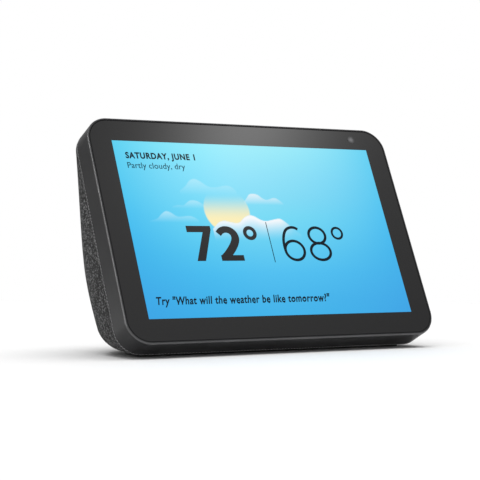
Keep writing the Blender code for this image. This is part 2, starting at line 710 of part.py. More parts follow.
def make_electronics():
    centre = ((MAINBOARD_LEFT + MAINBOARD_RIGHT) / 2, (MAINBOARD_BOTTOM + MAINBOARD_TOP) / 2)
    half = ((MAINBOARD_RIGHT - MAINBOARD_LEFT) / 2, (MAINBOARD_TOP - MAINBOARD_BOTTOM) / 2)
    outline = rounded_outline(half[0], half[1], 2 * MM, centre, 3)
    board = slab_plate("mainboard", BOARD, [outline], BOARD_FRONT, BOARD_BACK)
    spots = [(x, y, -BOARD_FRONT) for x, y in board_corners()]
    cut(board, cylinders("board_holes", None, STAKE_RADIUS + LOOSE_GAP, 4 * MAINBOARD_THICKNESS, spots, panel))

    side = SHIELD_SIDE / 2
    shield_s = (BOARD_BACK + TOUCH_GAP, BOARD_BACK + TOUCH_GAP + SHIELD_HEIGHT)
    shield = slab_box("processor_shield", STEEL, (-side, side), (-side - 6 * MM, side - 6 * MM), shield_s)
    soften(shield, 0.4 * MM)
    base_s = (shield_s[1] + TOUCH_GAP, shield_s[1] + TOUCH_GAP + SPREADER_BASE)
    half_x, half_y = 30 * MM, 22 * MM
    spreader = slab_box("heat_spreader", ALUMINIUM, (-half_x, half_x), (-half_y - 6 * MM, half_y - 6 * MM), base_s)
    for number in range(FIN_COUNT):
        x = -half_x + 1.5 * MM + number * (2 * half_x - 3 * MM) / (FIN_COUNT - 1)
        fin_s = (base_s[1] - OVERLAP / 2, base_s[1] + FIN_HEIGHT)
        fin_y = (-half_y - 5 * MM, half_y - 7 * MM)
        join(spreader, slab_box(f"fin_{number}", None, (x - 0.7 * MM, x + 0.7 * MM), fin_y, fin_s))

    for side_name, sign in (("left", -1), ("right", 1)):
        wall_x = HALF_W - FRAME_WALL - LOOSE_GAP
        strip_x = sorted((sign * wall_x, sign * (wall_x - 0.4 * MM)))
        slab_box(f"antenna_{side_name}", RIBBON, strip_x, (-18 * MM, 18 * MM), (MID_BACK + LOOSE_GAP, 11.4 * MM))

    display_path = [
        (-ACTIVE_HEIGHT / 2 - LCD_BORDER - 1.0 * MM, -(LCD_FRONT + LCD_BACK) / 2),
        (-60.2 * MM, -4.6 * MM),
        (-62.2 * MM, -7.4 * MM),
        (-61.0 * MM, -10.2 * MM),
        (-56.0 * MM, -12.2 * MM),
        (MAINBOARD_BOTTOM + 1 * MM, -(BOARD_BACK + 0.5 * MM)),
        (MAINBOARD_BOTTOM + 8 * MM, -(BOARD_BACK + 0.5 * MM)),
    ]
    ribbon("display_ribbon", RIBBON, display_path, 26 * MM, panel, -30 * MM)
    camera_path = [
        (CAMERA_Y, -(LEDGE_BACK + CAMERA_THICKNESS + TOUCH_GAP + RIBBON_THICKNESS / 2)),
        (CASE_SCREW_Y + 10 * MM, -8.0 * MM),
        (CASE_SCREW_Y + 7 * MM, -9.6 * MM),
        (MAINBOARD_TOP + 6 * MM, -(BOARD_BACK + 0.9 * MM)),
        (MAINBOARD_TOP - 3 * MM, -(BOARD_BACK + 0.5 * MM)),
        (MAINBOARD_TOP - 8 * MM, -(BOARD_BACK + 0.5 * MM)),
    ]
    ribbon("camera_ribbon", RIBBON, camera_path, 5 * MM, panel, CAMERA_X - 4.5 * MM)


def soften(piece, width):
    rounding = piece.modifiers.new("edges", "BEVEL")
    rounding.width = width
    rounding.segments = 2


# ---------------------------------------------------------------- camera, shutter, buttons, microphones


def make_camera():
    half = CAMERA_SIDE / 2
    barrel_front = GLASS_BACK + 2 * LOOSE_GAP + BLADE_THICKNESS
    body_front = LEDGE_BACK
    body_back = body_front + CAMERA_THICKNESS
    module = slab_box(
        "camera_module",
        BLACK_PLASTIC,
        (CAMERA_X - half, CAMERA_X + half),
        (CAMERA_Y - half, CAMERA_Y + half),
        (body_front, body_back),
    )
    barrel_radius = LENS_RADIUS + 0.7 * MM
    barrel_length = body_front - barrel_front + OVERLAP
    barrel_centre = (CAMERA_X, CAMERA_Y, -(barrel_front + barrel_length / 2))
    join(module, cylinders("lens_barrel", None, barrel_radius, barrel_length, [barrel_centre], panel))
    bore_centre = (CAMERA_X, CAMERA_Y, -barrel_front)
    cut(module, cylinders("lens_bore", None, LENS_RADIUS, 2.4 * MM, [bore_centre], panel))
    dome = [
        (0, 0.9 * MM),
        (LENS_RADIUS * 0.5, 0.75 * MM),
        (LENS_RADIUS - FIT_GAP, 0.25 * MM),
        (LENS_RADIUS - FIT_GAP, -0.1 * MM),
        (0, -0.1 * MM),
    ]
    turned("camera_lens", LENS, dome, panel, (CAMERA_X, CAMERA_Y, -(barrel_front + 0.8 * MM)), steps=SMALL_STEPS)


def make_shutter():
    x = shutter_x()
    blade_s = GLASS_BACK + LOOSE_GAP
    flange_y = INNER_TOP - 2 * LOOSE_GAP - BLADE_THICKNESS
    blade = slab_box(
        "shutter_blade",
        BLACK_PLASTIC,
        (x - BLADE_WIDTH / 2, x + BLADE_WIDTH / 2),
        (CAMERA_Y - LENS_RADIUS - 1.2 * MM, flange_y),
        (blade_s, blade_s + BLADE_THICKNESS),
    )
    fold = slab_box(
        "blade_fold",
        None,
        (x - BLADE_WIDTH / 4, x + BLADE_WIDTH / 4),
        (flange_y - BLADE_THICKNESS, flange_y),
        (blade_s, SHUTTER_DEPTH + STEM_WIDTH / 2),
    )
    join(blade, fold)
    foot_top = INNER_TOP - LOOSE_GAP
    slider = slab_box(
        "shutter_slider",
        CHARCOAL,
        (x - STEM_LENGTH, x + STEM_LENGTH),
        (flange_y + TOUCH_GAP, foot_top),
        (SHUTTER_DEPTH - STEM_WIDTH, SHUTTER_DEPTH + STEM_WIDTH),
    )
    stem = slab_box(
        "slider_stem",
        None,
        (x - STEM_LENGTH / 2, x + STEM_LENGTH / 2),
        (foot_top - LOOSE_GAP / 2, HALF_H - KNOB_RECESS + 2 * FIT_GAP),
        (SHUTTER_DEPTH - STEM_WIDTH / 2, SHUTTER_DEPTH + STEM_WIDTH / 2),
    )
    cap_bottom = HALF_H - KNOB_RECESS + FIT_GAP
    cap_height = KNOB_RECESS - FIT_GAP + KNOB_PROUD
    outline = rounded_outline(KNOB_LENGTH / 2, KNOB_WIDTH / 2, KNOB_WIDTH / 2.2, (x, 0))
    cap = top_wall_cutter("slider_cap", outline, SHUTTER_DEPTH, cap_bottom + cap_height / 2, cap_height)
    join(slider, stem, cap)


def make_button(name, x):
    """A pill cap with a flange under the wall and a stem over its switch's plunger."""
    bottom = INNER_TOP - FIT_GAP - BUTTON_FLANGE
    top = HALF_H + BUTTON_PROUD
    outline = rounded_outline(BUTTON_LENGTH / 2, BUTTON_WIDTH / 2, BUTTON_WIDTH / 2.1, (x, 0))
    cap = plate(
        name + "_button",
        CHARCOAL,
        [outline],
        top - bottom,
        panel,
        (0, (top + bottom) / 2, -BUTTON_DEPTH),
        (math.pi / 2, 0, 0),
    )
    flange = slab_box(
        name + "_flange",
        None,
        (x - BUTTON_LENGTH / 2 - BUTTON_FLANGE, x + BUTTON_LENGTH / 2 + BUTTON_FLANGE),
        (bottom - LOOSE_GAP / 2, bottom + BUTTON_FLANGE),
        (BUTTON_DEPTH - BUTTON_WIDTH / 2 - BUTTON_FLANGE, BUTTON_DEPTH + BUTTON_WIDTH / 2 + BUTTON_FLANGE),
    )
    stem = slab_box(
        name + "_stem",
        None,
        (x - 1.5 * PLUNGER_RADIUS, x + 1.5 * PLUNGER_RADIUS),
        (stem_bottom(), bottom + BUTTON_FLANGE / 2),
        (BUTTON_DEPTH - 1.5 * PLUNGER_RADIUS, BUTTON_DEPTH + 1.5 * PLUNGER_RADIUS),
    )
    join(cap, flange, stem)
    centre = (x, plunger_bottom() + PLUNGER_LENGTH / 2, -BUTTON_DEPTH)
    cylinders(name + "_plunger", BLACK_PLASTIC, PLUNGER_RADIUS, PLUNGER_LENGTH, [centre], panel, (math.pi / 2, 0, 0))


def make_button_board():
    top = button_board_top()
    half_x = BUTTON_PITCH + 12 * MM
    s_range = (BUTTON_DEPTH - 3.2 * MM, BUTTON_DEPTH + 3.2 * MM)
    board = slab_box("button_board", BOARD, (-half_x, half_x), (top - BOARD_THICKNESS, top), s_range)
    bores = []
    for name, x in button_xs().items():
        switch = slab_box(
            name + "_switch",
            None,
            (x - SWITCH_SIDE / 2, x + SWITCH_SIDE / 2),
            (top - BOARD_THICKNESS / 2, top + SWITCH_HEIGHT - LOOSE_GAP),
            (BUTTON_DEPTH - SWITCH_SIDE / 2, BUTTON_DEPTH + SWITCH_SIDE / 2),
        )
        join(board, switch)
        bores.append((x, top + SWITCH_HEIGHT / 2, -BUTTON_DEPTH))
    cut(board, cylinders("plunger_bores", None, PLUNGER_RADIUS + FIT_GAP, SWITCH_HEIGHT, bores, panel, (math.pi / 2, 0, 0)))


def make_microphones():
    can_top = INNER_TOP - 2 * TOUCH_GAP
    board_top = can_top - 1.0 * MM
    for side_name, sign in (("left", -1), ("right", 1)):
        centre = sign * MIC_BOARD_X
        half = MIC_SPACING / 2 + 3 * MM
        s_range = (BUTTON_DEPTH - 2 * MM, BUTTON_DEPTH + 2 * MM)
        board = slab_box(
            f"microphone_board_{side_name}",
            BOARD,
            (centre - half, centre + half),
            (board_top - 0.8 * MM, board_top),
            s_range,
        )
        for half_sign in (-1, 1):
            x = centre + half_sign * MIC_SPACING / 2
            can = slab_box(
                f"mic_can_{side_name}_{half_sign}",
                None,
                (x - 1.9 * MM, x + 1.9 * MM),
                (board_top - OVERLAP / 4, can_top),
                (BUTTON_DEPTH - 1.5 * MM, BUTTON_DEPTH + 1.5 * MM),
            )
            join(board, can)


# ---------------------------------------------------------------- rear housing, fabric, base


def make_rear_body(drivers, port):
    fabric = body_shell("fabric_cover", FABRIC, 0.0, FABRIC_THICKNESS)
    cut(fabric, port_cutter("fabric_port_hole", port, FIT_GAP))

    inset = FABRIC_THICKNESS + HOUSING_GAP
    housing = body_shell("rear_housing", BLACK_PLASTIC, inset, HOUSING_WALL)
    floor_front = slab_plane_y(FLOOR_TOP, RIM_DEPTH) + LOOSE_GAP
    floor_z = (FLOOR_BOTTOM + FLOOR_TOP) / 2
    floor_outline = base_outline(-OVERLAP, floor_front)
    hatch = rounded_outline(38 * MM, 9 * MM, 3 * MM, (0, -8 * MM), 3)
    floor = plate("housing_floor", None, [floor_outline, hatch], FLOOR_THICKNESS, None, (0, 0, floor_z))
    join(housing, floor)
    tongue_outer = FRAME_WALL + FIT_GAP
    tongue_inner = BODY_INSET + inset + HOUSING_WALL + 2 * LOOSE_GAP
    outlines = [
        rounded_outline(HALF_W - tongue_outer, HALF_H - tongue_outer, PANEL_CORNER - tongue_outer, steps=7),
        rounded_outline(HALF_W - tongue_inner, HALF_H - tongue_inner, PANEL_CORNER - tongue_inner, steps=7),
    ]
    join(housing, slab_plate("tongue", None, outlines, PANEL_DEPTH - 3 * MM, RIM_DEPTH + OVERLAP))
    for side_x in (-1, 1):
        for side_y in (-1, 1):
            join(housing, housing_post(side_x, side_y))
    pilots = [(x * CASE_SCREW_X, y * CASE_SCREW_Y, -LUG_BACK - 5 * MM) for x in (-1, 1) for y in (-1, 1)]
    cut(housing, cylinders("case_pilots", None, SCREW_SHANK + TOUCH_GAP, 12 * MM, pilots, panel))
    x, y = BASE_SCREW_FRONT
    boss_top = base_screw_seat() + BASE_SCREW_LENGTH + 2 * MM
    boss_height = boss_top - (FLOOR_BOTTOM + FLOOR_TOP) / 2
    bosses = [(side * x, y, boss_top - boss_height / 2) for side in (-1, 1)]
    join(housing, cylinders("floor_bosses", None, POST_RADIUS, boss_height, bosses))
    pilots = [(a, b, boss_top - OVERLAP - boss_height / 2) for a, b, _ in bosses]
    cut(housing, cylinders("floor_pilots", None, SCREW_SHANK + TOUCH_GAP, boss_height + OVERLAP, pilots))
    x, y = BASE_SCREW_REAR
    passes = [(side * x, y, floor_z) for side in (-1, 1)]
    cut(housing, cylinders("floor_passes", None, SCREW_SHANK + LOOSE_GAP, 4 * FLOOR_THICKNESS, passes))
    cut(housing, port_cutter("housing_port_hole", port, FIT_GAP))
    for name, seat in drivers.items():
        radius = RADIATOR_PLATE_RADIUS if name == "radiator" else CONE_RADIUS
        mouth = cylinders(name + "_mouth", None, radius, 24 * MM, [(0, 0, 15 * MM)], seat, steps=24)
        cut(housing, mouth)
    return housing


def housing_post(side_x, side_y):
    """A post from the frame's lug back into the housing's wall, along the slab's normal."""
    x, y = side_x * CASE_SCREW_X, side_y * CASE_SCREW_Y
    front = LUG_BACK + TOUCH_GAP
    back = RIM_DEPTH + post_depth(x, y)
    centre = (x, y, -(front + back) / 2)
    return cylinders(f"post_{side_x}_{side_y}", None, POST_RADIUS, back - front, [centre], panel)


def post_depth(x, y):
    """How far behind the seam plane the housing's wall lies, along the slab's normal through (x, y)."""
    inset = FABRIC_THICKNESS + HOUSING_GAP + HOUSING_WALL / 2
    profile = side_profile(inset)
    depth = 0.0
    for step in range(1, 120):
        s = RIM_DEPTH + step * 0.5 * MM
        spot = slab_to_world(abs(x) + POST_RADIUS, y, s)
        rows = [p for p in profile if p.y >= spot.z]
        upper, lower = rows[-1], profile[min(len(rows), len(profile) - 1)]
        share = (upper.y - spot.z) / max(upper.y - lower.y, 1e-9)
        y_back = upper.x + (lower.x - upper.x) * share
        section = body_section(y_back, spot.z, inset, 120)
        reach = max((p[1] for p in section if p[0] >= spot.x), default=-1.0)
        if reach < spot.y:
            break
        depth = s - RIM_DEPTH
    return depth


def base_screw_seat():
    return FOOT_THICKNESS + TOUCH_GAP + SCREW_HEAD_HEIGHT


def make_base():
    front = slab_plane_y(BODY_BOTTOM, RIM_DEPTH) + 2 * OVERLAP
    plate_bottom = FOOT_THICKNESS + TOUCH_GAP
    plate_z = plate_bottom + BASE_PLATE_THICKNESS / 2
    outline = base_outline(BASE_MARGIN + LOOSE_GAP, front)
    base = plate("base_plate", BLACK_PLASTIC, [outline], BASE_PLATE_THICKNESS, None, (0, 0, plate_z))
    spots = [(side * x, y) for x, y in (BASE_SCREW_FRONT, BASE_SCREW_REAR) for side in (-1, 1)]
    cut(
        base,
        cylinders("base_holes", None, SCREW_SHANK + LOOSE_GAP, 4 * BASE_PLATE_THICKNESS, [(x, y, plate_z) for x, y in spots]),
        cylinders(
            "base_counterbores",
            None,
            SCREW_HEAD + LOOSE_GAP,
            2 * (SCREW_HEAD_HEIGHT + TOUCH_GAP),
            [(x, y, plate_bottom) for x, y in spots],
        ),
    )
    for number, (x, y) in enumerate(spots, 1):
        screw(f"base_screw_{number}", None, (x, y, base_screw_seat()), BASE_SCREW_LENGTH, (math.pi, 0, 0))
    outline = base_outline(FOOT_MARGIN, front + FOOT_MARGIN / 2)
    foot = plate("foot_pad", RUBBER, [outline], FOOT_THICKNESS, None, (0, 0, FOOT_THICKNESS / 2))
    soften_outline(foot, 0.4 * MM)


def soften_outline(piece, width):
    rounding = piece.modifiers.new("edges", "BEVEL")
    rounding.width = width
    rounding.segments = 2
    rounding.limit_method = "ANGLE"
    rounding.angle_limit = math.radians(60)


def make_case_screws():
    number = 0
    for side_x in (-1, 1):
        for side_y in (-1, 1):
            number += 1
            seat = (side_x * CASE_SCREW_X, side_y * CASE_SCREW_Y, -MID_FRONT + TOUCH_GAP)
            screw(f"case_screw_{number}", panel, seat, LUG_BACK - MID_FRONT + 8 * MM)


# ---------------------------------------------------------------- speaker box and drivers


def driver_seats():
    """Empties on the box's three rear faces, local z pointing out of the back."""
    wing_middle = (BOX_HALF_WIDTH - CENTRE_FACE_HALF) / 2
    x = CENTRE_FACE_HALF + wing_middle
    y = BOX_REAR_Y - wing_middle * math.tan(WING_YAW)
    back = -math.pi / 2
    return {
        "left_driver": axes("left_driver_axes", (-x, y, DRIVER_HEIGHT), (back, 0, WING_YAW)),
        "right_driver": axes("right_driver_axes", (x, y, DRIVER_HEIGHT), (back, 0, -WING_YAW)),
        "radiator": axes("radiator_axes", (0, BOX_REAR_Y, DRIVER_HEIGHT), (back, 0, 0)),
    }


def box_form(name, finish, margin, front_depth):
    """The speaker box's wedge, moved in by a margin: its side outline extruded across, wings cut at a yaw."""
    bottom, top = BOX_BOTTOM + margin, BOX_TOP - margin
    rear = BOX_REAR_Y - margin
    half = BOX_HALF_WIDTH - margin
    outline = [
        (slab_plane_y(bottom, front_depth), bottom),
        (rear, bottom),
        (rear, top),
        (slab_plane_y(top, front_depth), top),
    ]
    turn = (math.pi / 2, 0, math.pi / 2)
    form = plate(name, finish, [outline], 2 * half, None, (0, 0, 0), turn)
    for side in (-1, 1):
        hinge_x = CENTRE_FACE_HALF * side
        reach = 2 * BOX_HALF_WIDTH
        cutter = box(name + f"_wing_{side}", None, (0, 0, 0), (reach, reach, 2 * BOX_TOP))
        if side < 0:
            cutter.data.transform(Matrix.Translation((-reach, 0, 0)))
        cutter.data.transform(Matrix.Translation(cutter.location))
        cutter.location = (hinge_x, rear, -OVERLAP)
        cutter.rotation_euler = (0, 0, -side * WING_YAW)
        cut(form, cutter)
    return form


def make_speaker_box(seats):
    shell = box_form("speaker_box", BLACK_PLASTIC, 0.0, BOX_FRONT_DEPTH)
    cavity = box_form("box_cavity", None, BOX_WALL, BOX_FRONT_DEPTH - 2 * OVERLAP)
    cut(shell, cavity)
    x, y = BASE_SCREW_REAR
    foot_bottom = FLOOR_TOP + TOUCH_GAP
    length = BOX_BOTTOM + BOX_WALL / 2 - foot_bottom
    pilot_length = 2 * (base_screw_seat() + BASE_SCREW_LENGTH + OVERLAP - foot_bottom)
    feet = [(side * x, y, foot_bottom + length / 2) for side in (-1, 1)]
    join(shell, cylinders("box_feet", None, POST_RADIUS, length, feet))
    pilots = [(a, b, foot_bottom) for a, b, _ in feet]
    cut(shell, cylinders("feet_pilots", None, SCREW_SHANK + TOUCH_GAP, pilot_length, pilots))
    for name, seat in seats.items():
        radius = RADIATOR_RADIUS if name == "radiator" else DRIVER_RADIUS
        hole = cylinders(name + "_hole", None, radius - 2 * MM, 8 * BOX_WALL, [(0, 0, 0)], seat, steps=ROUND_STEPS)
        cut(shell, hole)

    lid_front = BOX_FRONT_DEPTH - TOUCH_GAP - BOX_WALL
    bottom = (BOX_BOTTOM - PANEL_Z + BOX_FRONT_DEPTH * SIN_T) / COS_T
    top = (BOX_TOP - PANEL_Z + BOX_FRONT_DEPTH * SIN_T) / COS_T
    outline = rounded_outline(BOX_HALF_WIDTH, (top - bottom) / 2, 3 * MM, (0, (top + bottom) / 2), 3)
    lid = slab_plate("speaker_box_lid", BLACK_PLASTIC, [outline], lid_front, lid_front + BOX_WALL)
    centres = [(side * LEAD_X, LEAD_Y, -lid_front) for side in (-1, 1)]
    cut(lid, cylinders("lead_holes", None, LEAD_RADIUS + LOOSE_GAP, 4 * BOX_WALL, centres, panel, steps=12))


def make_driver(name, seat):
    """One 52 mm driver: basket, magnet with its coil gap, rubber surround, and the cone that moves."""
    lip = DRIVER_RADIUS - 3.2 * MM
    waist = MAGNET_RADIUS - 1.0 * MM
    wall = 1.2 * MM
    hole = 8.0 * MM
    face = TOUCH_GAP
    basket = [
        (lip + 0.6 * MM, face + DRIVER_FLANGE),
        (DRIVER_RADIUS, face + DRIVER_FLANGE),
        (DRIVER_RADIUS, face),
        (lip + wall, face),
        (waist + wall, -BASKET_DEPTH),
        (hole, -BASKET_DEPTH),
        (hole, -BASKET_DEPTH + wall),
        (waist, -BASKET_DEPTH + wall),
        (lip, face),
        (lip, face + DRIVER_FLANGE / 2),
        (lip + 0.6 * MM, face + DRIVER_FLANGE / 2),
    ]
    turned(name + "_basket", BLACK_PLASTIC, basket, seat, ring=True)
    gap_out, gap_in = 6.6 * MM, 4.6 * MM
    front = -BASKET_DEPTH - TOUCH_GAP
    magnet = [
        (0, front + 0.5 * MM),
        (gap_in, front + 0.5 * MM),
        (gap_in, front - MAGNET_LENGTH + 2.2 * MM),
        (gap_out, front - MAGNET_LENGTH + 2.2 * MM),
        (gap_out, front),
        (MAGNET_RADIUS, front),
        (MAGNET_RADIUS, front - MAGNET_LENGTH),
        (0, front - MAGNET_LENGTH),
    ]
    turned(name + "_magnet", STEEL, magnet, seat, steps=24)
    edge = CONE_RADIUS
    coil_out, coil_in = 5.9 * MM, 5.3 * MM
    skin = 0.6 * MM
    neck = -6.5 * MM
    coil_end = front - MAGNET_LENGTH + 2.2 * MM + CONE_EXCURSION + LOOSE_GAP
    cone = [
        (0, neck + 3.2 * MM),
        (coil_in, neck + 1.6 * MM),
        (coil_out + 0.8 * MM, neck + skin),
        (edge, -0.4 * MM),
        (edge, -0.4 * MM - skin),
        (coil_out, neck - skin),
        (coil_out, coil_end),
        (coil_in, coil_end),
        (coil_in, neck + 0.9 * MM),
        (0, neck + 2.4 * MM),
    ]
    turned(name + "_cone", PAPER, cone, seat)
    surround_in, surround_out = edge + LOOSE_GAP, lip - LOOSE_GAP
    middle = (surround_in + surround_out) / 2
    surround = [
        (surround_in, 0.1 * MM),
        (middle, 1.5 * MM),
        (surround_out, 0.5 * MM),
        (surround_out, 0),
        (middle, 0.9 * MM),
        (surround_in, -0.5 * MM),
    ]
    turned(name + "_surround", RUBBER, surround, seat, ring=True)


def make_radiator(seat):
    """The passive bass radiator: a weighted plate that moves, in a rubber surround on a ring."""
    ring_in = RADIATOR_RADIUS - 2.4 * MM
    ring = [
        (RADIATOR_RADIUS, TOUCH_GAP + 1.4 * MM),
        (RADIATOR_RADIUS, TOUCH_GAP),
        (ring_in, TOUCH_GAP),
        (ring_in, TOUCH_GAP + 1.4 * MM),
    ]
    turned("radiator_ring", BLACK_PLASTIC, ring, seat, ring=True)
    plate_radius = RADIATOR_PLATE_RADIUS
    disc = [
        (0, 0.6 * MM),
        (plate_radius - 0.6 * MM, 0.6 * MM),
        (plate_radius, 0),
        (plate_radius - 0.6 * MM, -1.2 * MM),
        (plate_radius * 0.5, -1.2 * MM),
        (plate_radius * 0.5, -3.4 * MM),
        (0, -3.4 * MM),
    ]
    turned("radiator_plate", STEEL, disc, seat)
    inside, outside = plate_radius + LOOSE_GAP, ring_in - FIT_GAP
    middle = (inside + outside) / 2
    surround = [
        (inside, 0.3 * MM),
        (middle, 1.6 * MM),
        (outside, 0.7 * MM),
        (outside, 0.1 * MM),
        (middle, 1.0 * MM),
        (inside, -0.3 * MM),
    ]
    turned("radiator_surround", RUBBER, surround, seat, ring=True)


def make_speaker_leads():
    """Leads from the mainboard's connectors, through the lid, to each driver's terminals."""
    for name, sign in (("left", -1), ("right", 1)):
        depths = [BOARD_BACK + 1.2 * MM, 16 * MM, 20 * MM, 24 * MM, 27 * MM, 29 * MM]
        drops = [0, 0, 0, 0, -1 * MM, -3 * MM]
        points = [slab_to_world(sign * LEAD_X, LEAD_Y + drop, s) for s, drop in zip(depths, drops)]
        wire(f"speaker_lead_{name}", BLACK_PLASTIC, points, LEAD_RADIUS)


# ---------------------------------------------------------------- connectors


def port_axes():
    """An empty on the fabric's back at the connectors' height: z out of the surface, y up, x right from behind."""
    profile = side_profile(0.0)
    for upper, lower in zip(profile, profile[1:]):
        if upper.y >= PORT_HEIGHT > lower.y:
            break
    share = (upper.y - PORT_HEIGHT) / (upper.y - lower.y)
    y = upper.x + (lower.x - upper.x) * share
    slope = math.atan2(upper.x - lower.x, upper.y - lower.y)
    return axes("port_axes", (0, y, PORT_HEIGHT), (math.pi / 2 + slope, 0, math.pi))


def port_outline(margin):
    half_h = PORT_TALL / 2 + margin
    return rounded_outline(PORT_WIDTH / 2 + margin, half_h, half_h * 0.98)


def port_cutter(name, port, margin):
    return plate(name, None, [port_outline(margin)], 16 * MM, port)


def make_ports(port):
    face = -PORT_RECESS
    back = face - PORT_PLATE_THICKNESS
    trim = plate(
        "port_plate",
        BLACK_PLASTIC,
        [port_outline(-FIT_GAP), rounded_outline(USB_WIDTH / 2 + LOOSE_GAP, USB_TALL / 2 + LOOSE_GAP, 0.8 * MM)],
        PORT_PLATE_THICKNESS,
        port,
        (0, 0, (face + back) / 2),
    )
    cut(
        trim,
        cylinders("power_mouth", None, POWER_HOLE, 4 * PORT_PLATE_THICKNESS, [(POWER_X, 0, face)], port, steps=24),
        cylinders("audio_mouth", None, AUDIO_HOLE, 4 * PORT_PLATE_THICKNESS, [(AUDIO_X, 0, face)], port, steps=24),
    )
    front = back - TOUCH_GAP
    half = 4.5 * MM
    power_depth = 12 * MM
    power = box("power_jack", BLACK_PLASTIC, (POWER_X - half, -4.0 * MM, front - power_depth), (POWER_X + half, half, front), port)
    cut(power, cylinders("power_bore", None, POWER_BORE, 18 * MM, [(POWER_X, 0, front)], port, steps=24))
    pin_length = 8 * MM
    pin_centre = (POWER_X, 0, front - power_depth + pin_length / 2 + OVERLAP)
    join(power, cylinders("power_pin", None, POWER_PIN, pin_length, [pin_centre], port))

    usb_low = (-USB_WIDTH / 2, -USB_TALL / 2 - 1.2 * MM, front - 5.6 * MM)
    usb = box("usb_port", STEEL, usb_low, (USB_WIDTH / 2, USB_TALL / 2, front), port)
    mouth_half = USB_WIDTH / 2 - 0.5 * MM
    cut(usb, box("usb_mouth", None, (-mouth_half, -0.9 * MM, front - 4.6 * MM), (mouth_half, 0.9 * MM, front + OVERLAP), port))
    join(usb, box("usb_tongue", None, (-2 * MM, 0.0, front - 5 * MM), (2 * MM, 0.5 * MM, front - 1 * MM), port))

    audio_low = (AUDIO_X - 3.2 * MM, -4.0 * MM, front - 12 * MM)
    audio = box("audio_jack", BLACK_PLASTIC, audio_low, (AUDIO_X + 3.2 * MM, 3.0 * MM, front), port)
    cut(audio, cylinders("audio_bore", None, AUDIO_BORE, 20 * MM, [(AUDIO_X, 0, front)], port))

    board_top = -4.0 * MM - TOUCH_GAP
    box(
        "port_board",
        BOARD,
        (-PORT_WIDTH / 2 + 4.5 * MM, board_top - BOARD_THICKNESS, front - 15 * MM),
        (PORT_WIDTH / 2 - 4.5 * MM, board_top, front - 1.5 * MM),
        port,
    )


# ---------------------------------------------------------------- assembly

make_front_frame()
make_screen()
make_mid_plate()
make_electronics()
make_camera()
make_shutter()
for button_name, button_x in button_xs().items():
    make_button(button_name, button_x)
make_button_board()
make_microphones()
seats = driver_seats()
ports = port_axes()
make_rear_body(seats, ports)
make_base()
make_case_screws()
make_speaker_box(seats)
make_driver("left_driver", seats["left_driver"])
make_driver("right_driver", seats["right_driver"])
make_radiator(seats["radiator"])
make_speaker_leads()
make_ports(ports)

for made in display.objects:
    if made.type == "MESH":
        made.data.shade_smooth()
        made.data.set_sharp_from_angle(angle=math.radians(35))
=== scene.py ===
"""Smart display: its frame, glass, lit picture, knitted speaker body, buttons and sockets as they look.

Everything is in metres in the part's own frame, +Z up, the screen facing -Y. Slab coordinates are
x along the screen's width, y up its face and s behind its front plane; slab() turns them into the world's.
"""

import json
import math

import bmesh
import bpy
import numpy as np
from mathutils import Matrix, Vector


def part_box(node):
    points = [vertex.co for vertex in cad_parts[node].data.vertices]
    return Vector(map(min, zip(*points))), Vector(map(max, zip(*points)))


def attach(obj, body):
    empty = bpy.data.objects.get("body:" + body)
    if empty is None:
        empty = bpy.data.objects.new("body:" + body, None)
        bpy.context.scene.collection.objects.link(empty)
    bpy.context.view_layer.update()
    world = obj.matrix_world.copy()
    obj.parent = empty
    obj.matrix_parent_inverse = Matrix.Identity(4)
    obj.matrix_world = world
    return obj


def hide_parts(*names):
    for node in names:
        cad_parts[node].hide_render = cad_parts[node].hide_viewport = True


MM = 0.001

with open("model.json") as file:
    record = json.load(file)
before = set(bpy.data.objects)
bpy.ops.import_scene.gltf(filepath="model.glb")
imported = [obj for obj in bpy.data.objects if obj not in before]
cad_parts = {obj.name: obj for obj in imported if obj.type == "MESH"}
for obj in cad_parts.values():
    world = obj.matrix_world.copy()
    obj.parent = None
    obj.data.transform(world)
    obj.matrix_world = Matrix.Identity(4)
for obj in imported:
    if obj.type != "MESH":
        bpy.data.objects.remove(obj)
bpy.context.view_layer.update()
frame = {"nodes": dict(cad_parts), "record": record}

# ---------------------------------------------------------------- sizes shared with the part

TILT = math.radians(25.3)
SIN_T, COS_T = math.sin(TILT), math.cos(TILT)
HALF_W, HALF_H, CORNER = 100.2 * MM, 67.85 * MM, 13.8 * MM
SLAB_DEPTH = 15.0 * MM
SEAM_DEPTH = 15.3 * MM
GLASS_INSET = 1.55 * MM
GLASS_FRONT, GLASS_BACK = 0.15 * MM, 1.25 * MM
ACTIVE_W, ACTIVE_H = 171.7 * MM, 107.3 * MM
BUTTON_DEPTH = 8.6 * MM
SHUTTER_DEPTH = 6.6 * MM
CAMERA_X, CAMERA_Y = 76.7 * MM, 60.5 * MM
BODY_INSET = 0.4 * MM
BODY_BOTTOM = 2.2 * MM
PLATE_HEIGHT, PLATE_THICKNESS = 12.5 * MM, 1.8 * MM

MICROPHONE_X = [x * MM for x in (-50, -34, 34, 50)]
GLASS_MIDDLE = np.mean(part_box("cover_glass"), axis=0)
FACE = GLASS_MIDDLE - (GLASS_FRONT + GLASS_BACK) / 2 * np.array([0.0, COS_T, -SIN_T])
BULGE_Y = float(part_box("fabric_cover")[1][1])


def slab(x, y, s):
    """World points of slab coordinates: FACE + x along X + y up the tilted face + s into the slab."""
    x, y, s = np.broadcast_arrays(x, y, s)
    return np.stack(
        [FACE[0] + x, FACE[1] + y * SIN_T + s * COS_T, FACE[2] + y * COS_T - s * SIN_T], axis=-1
    )


def seam_plane_y(z, depth):
    """World y of the plane at a depth behind the screen's front, at heights z."""
    return FACE[1] + (z - FACE[2]) * math.tan(TILT) + depth / COS_T


# ---------------------------------------------------------------- meshes


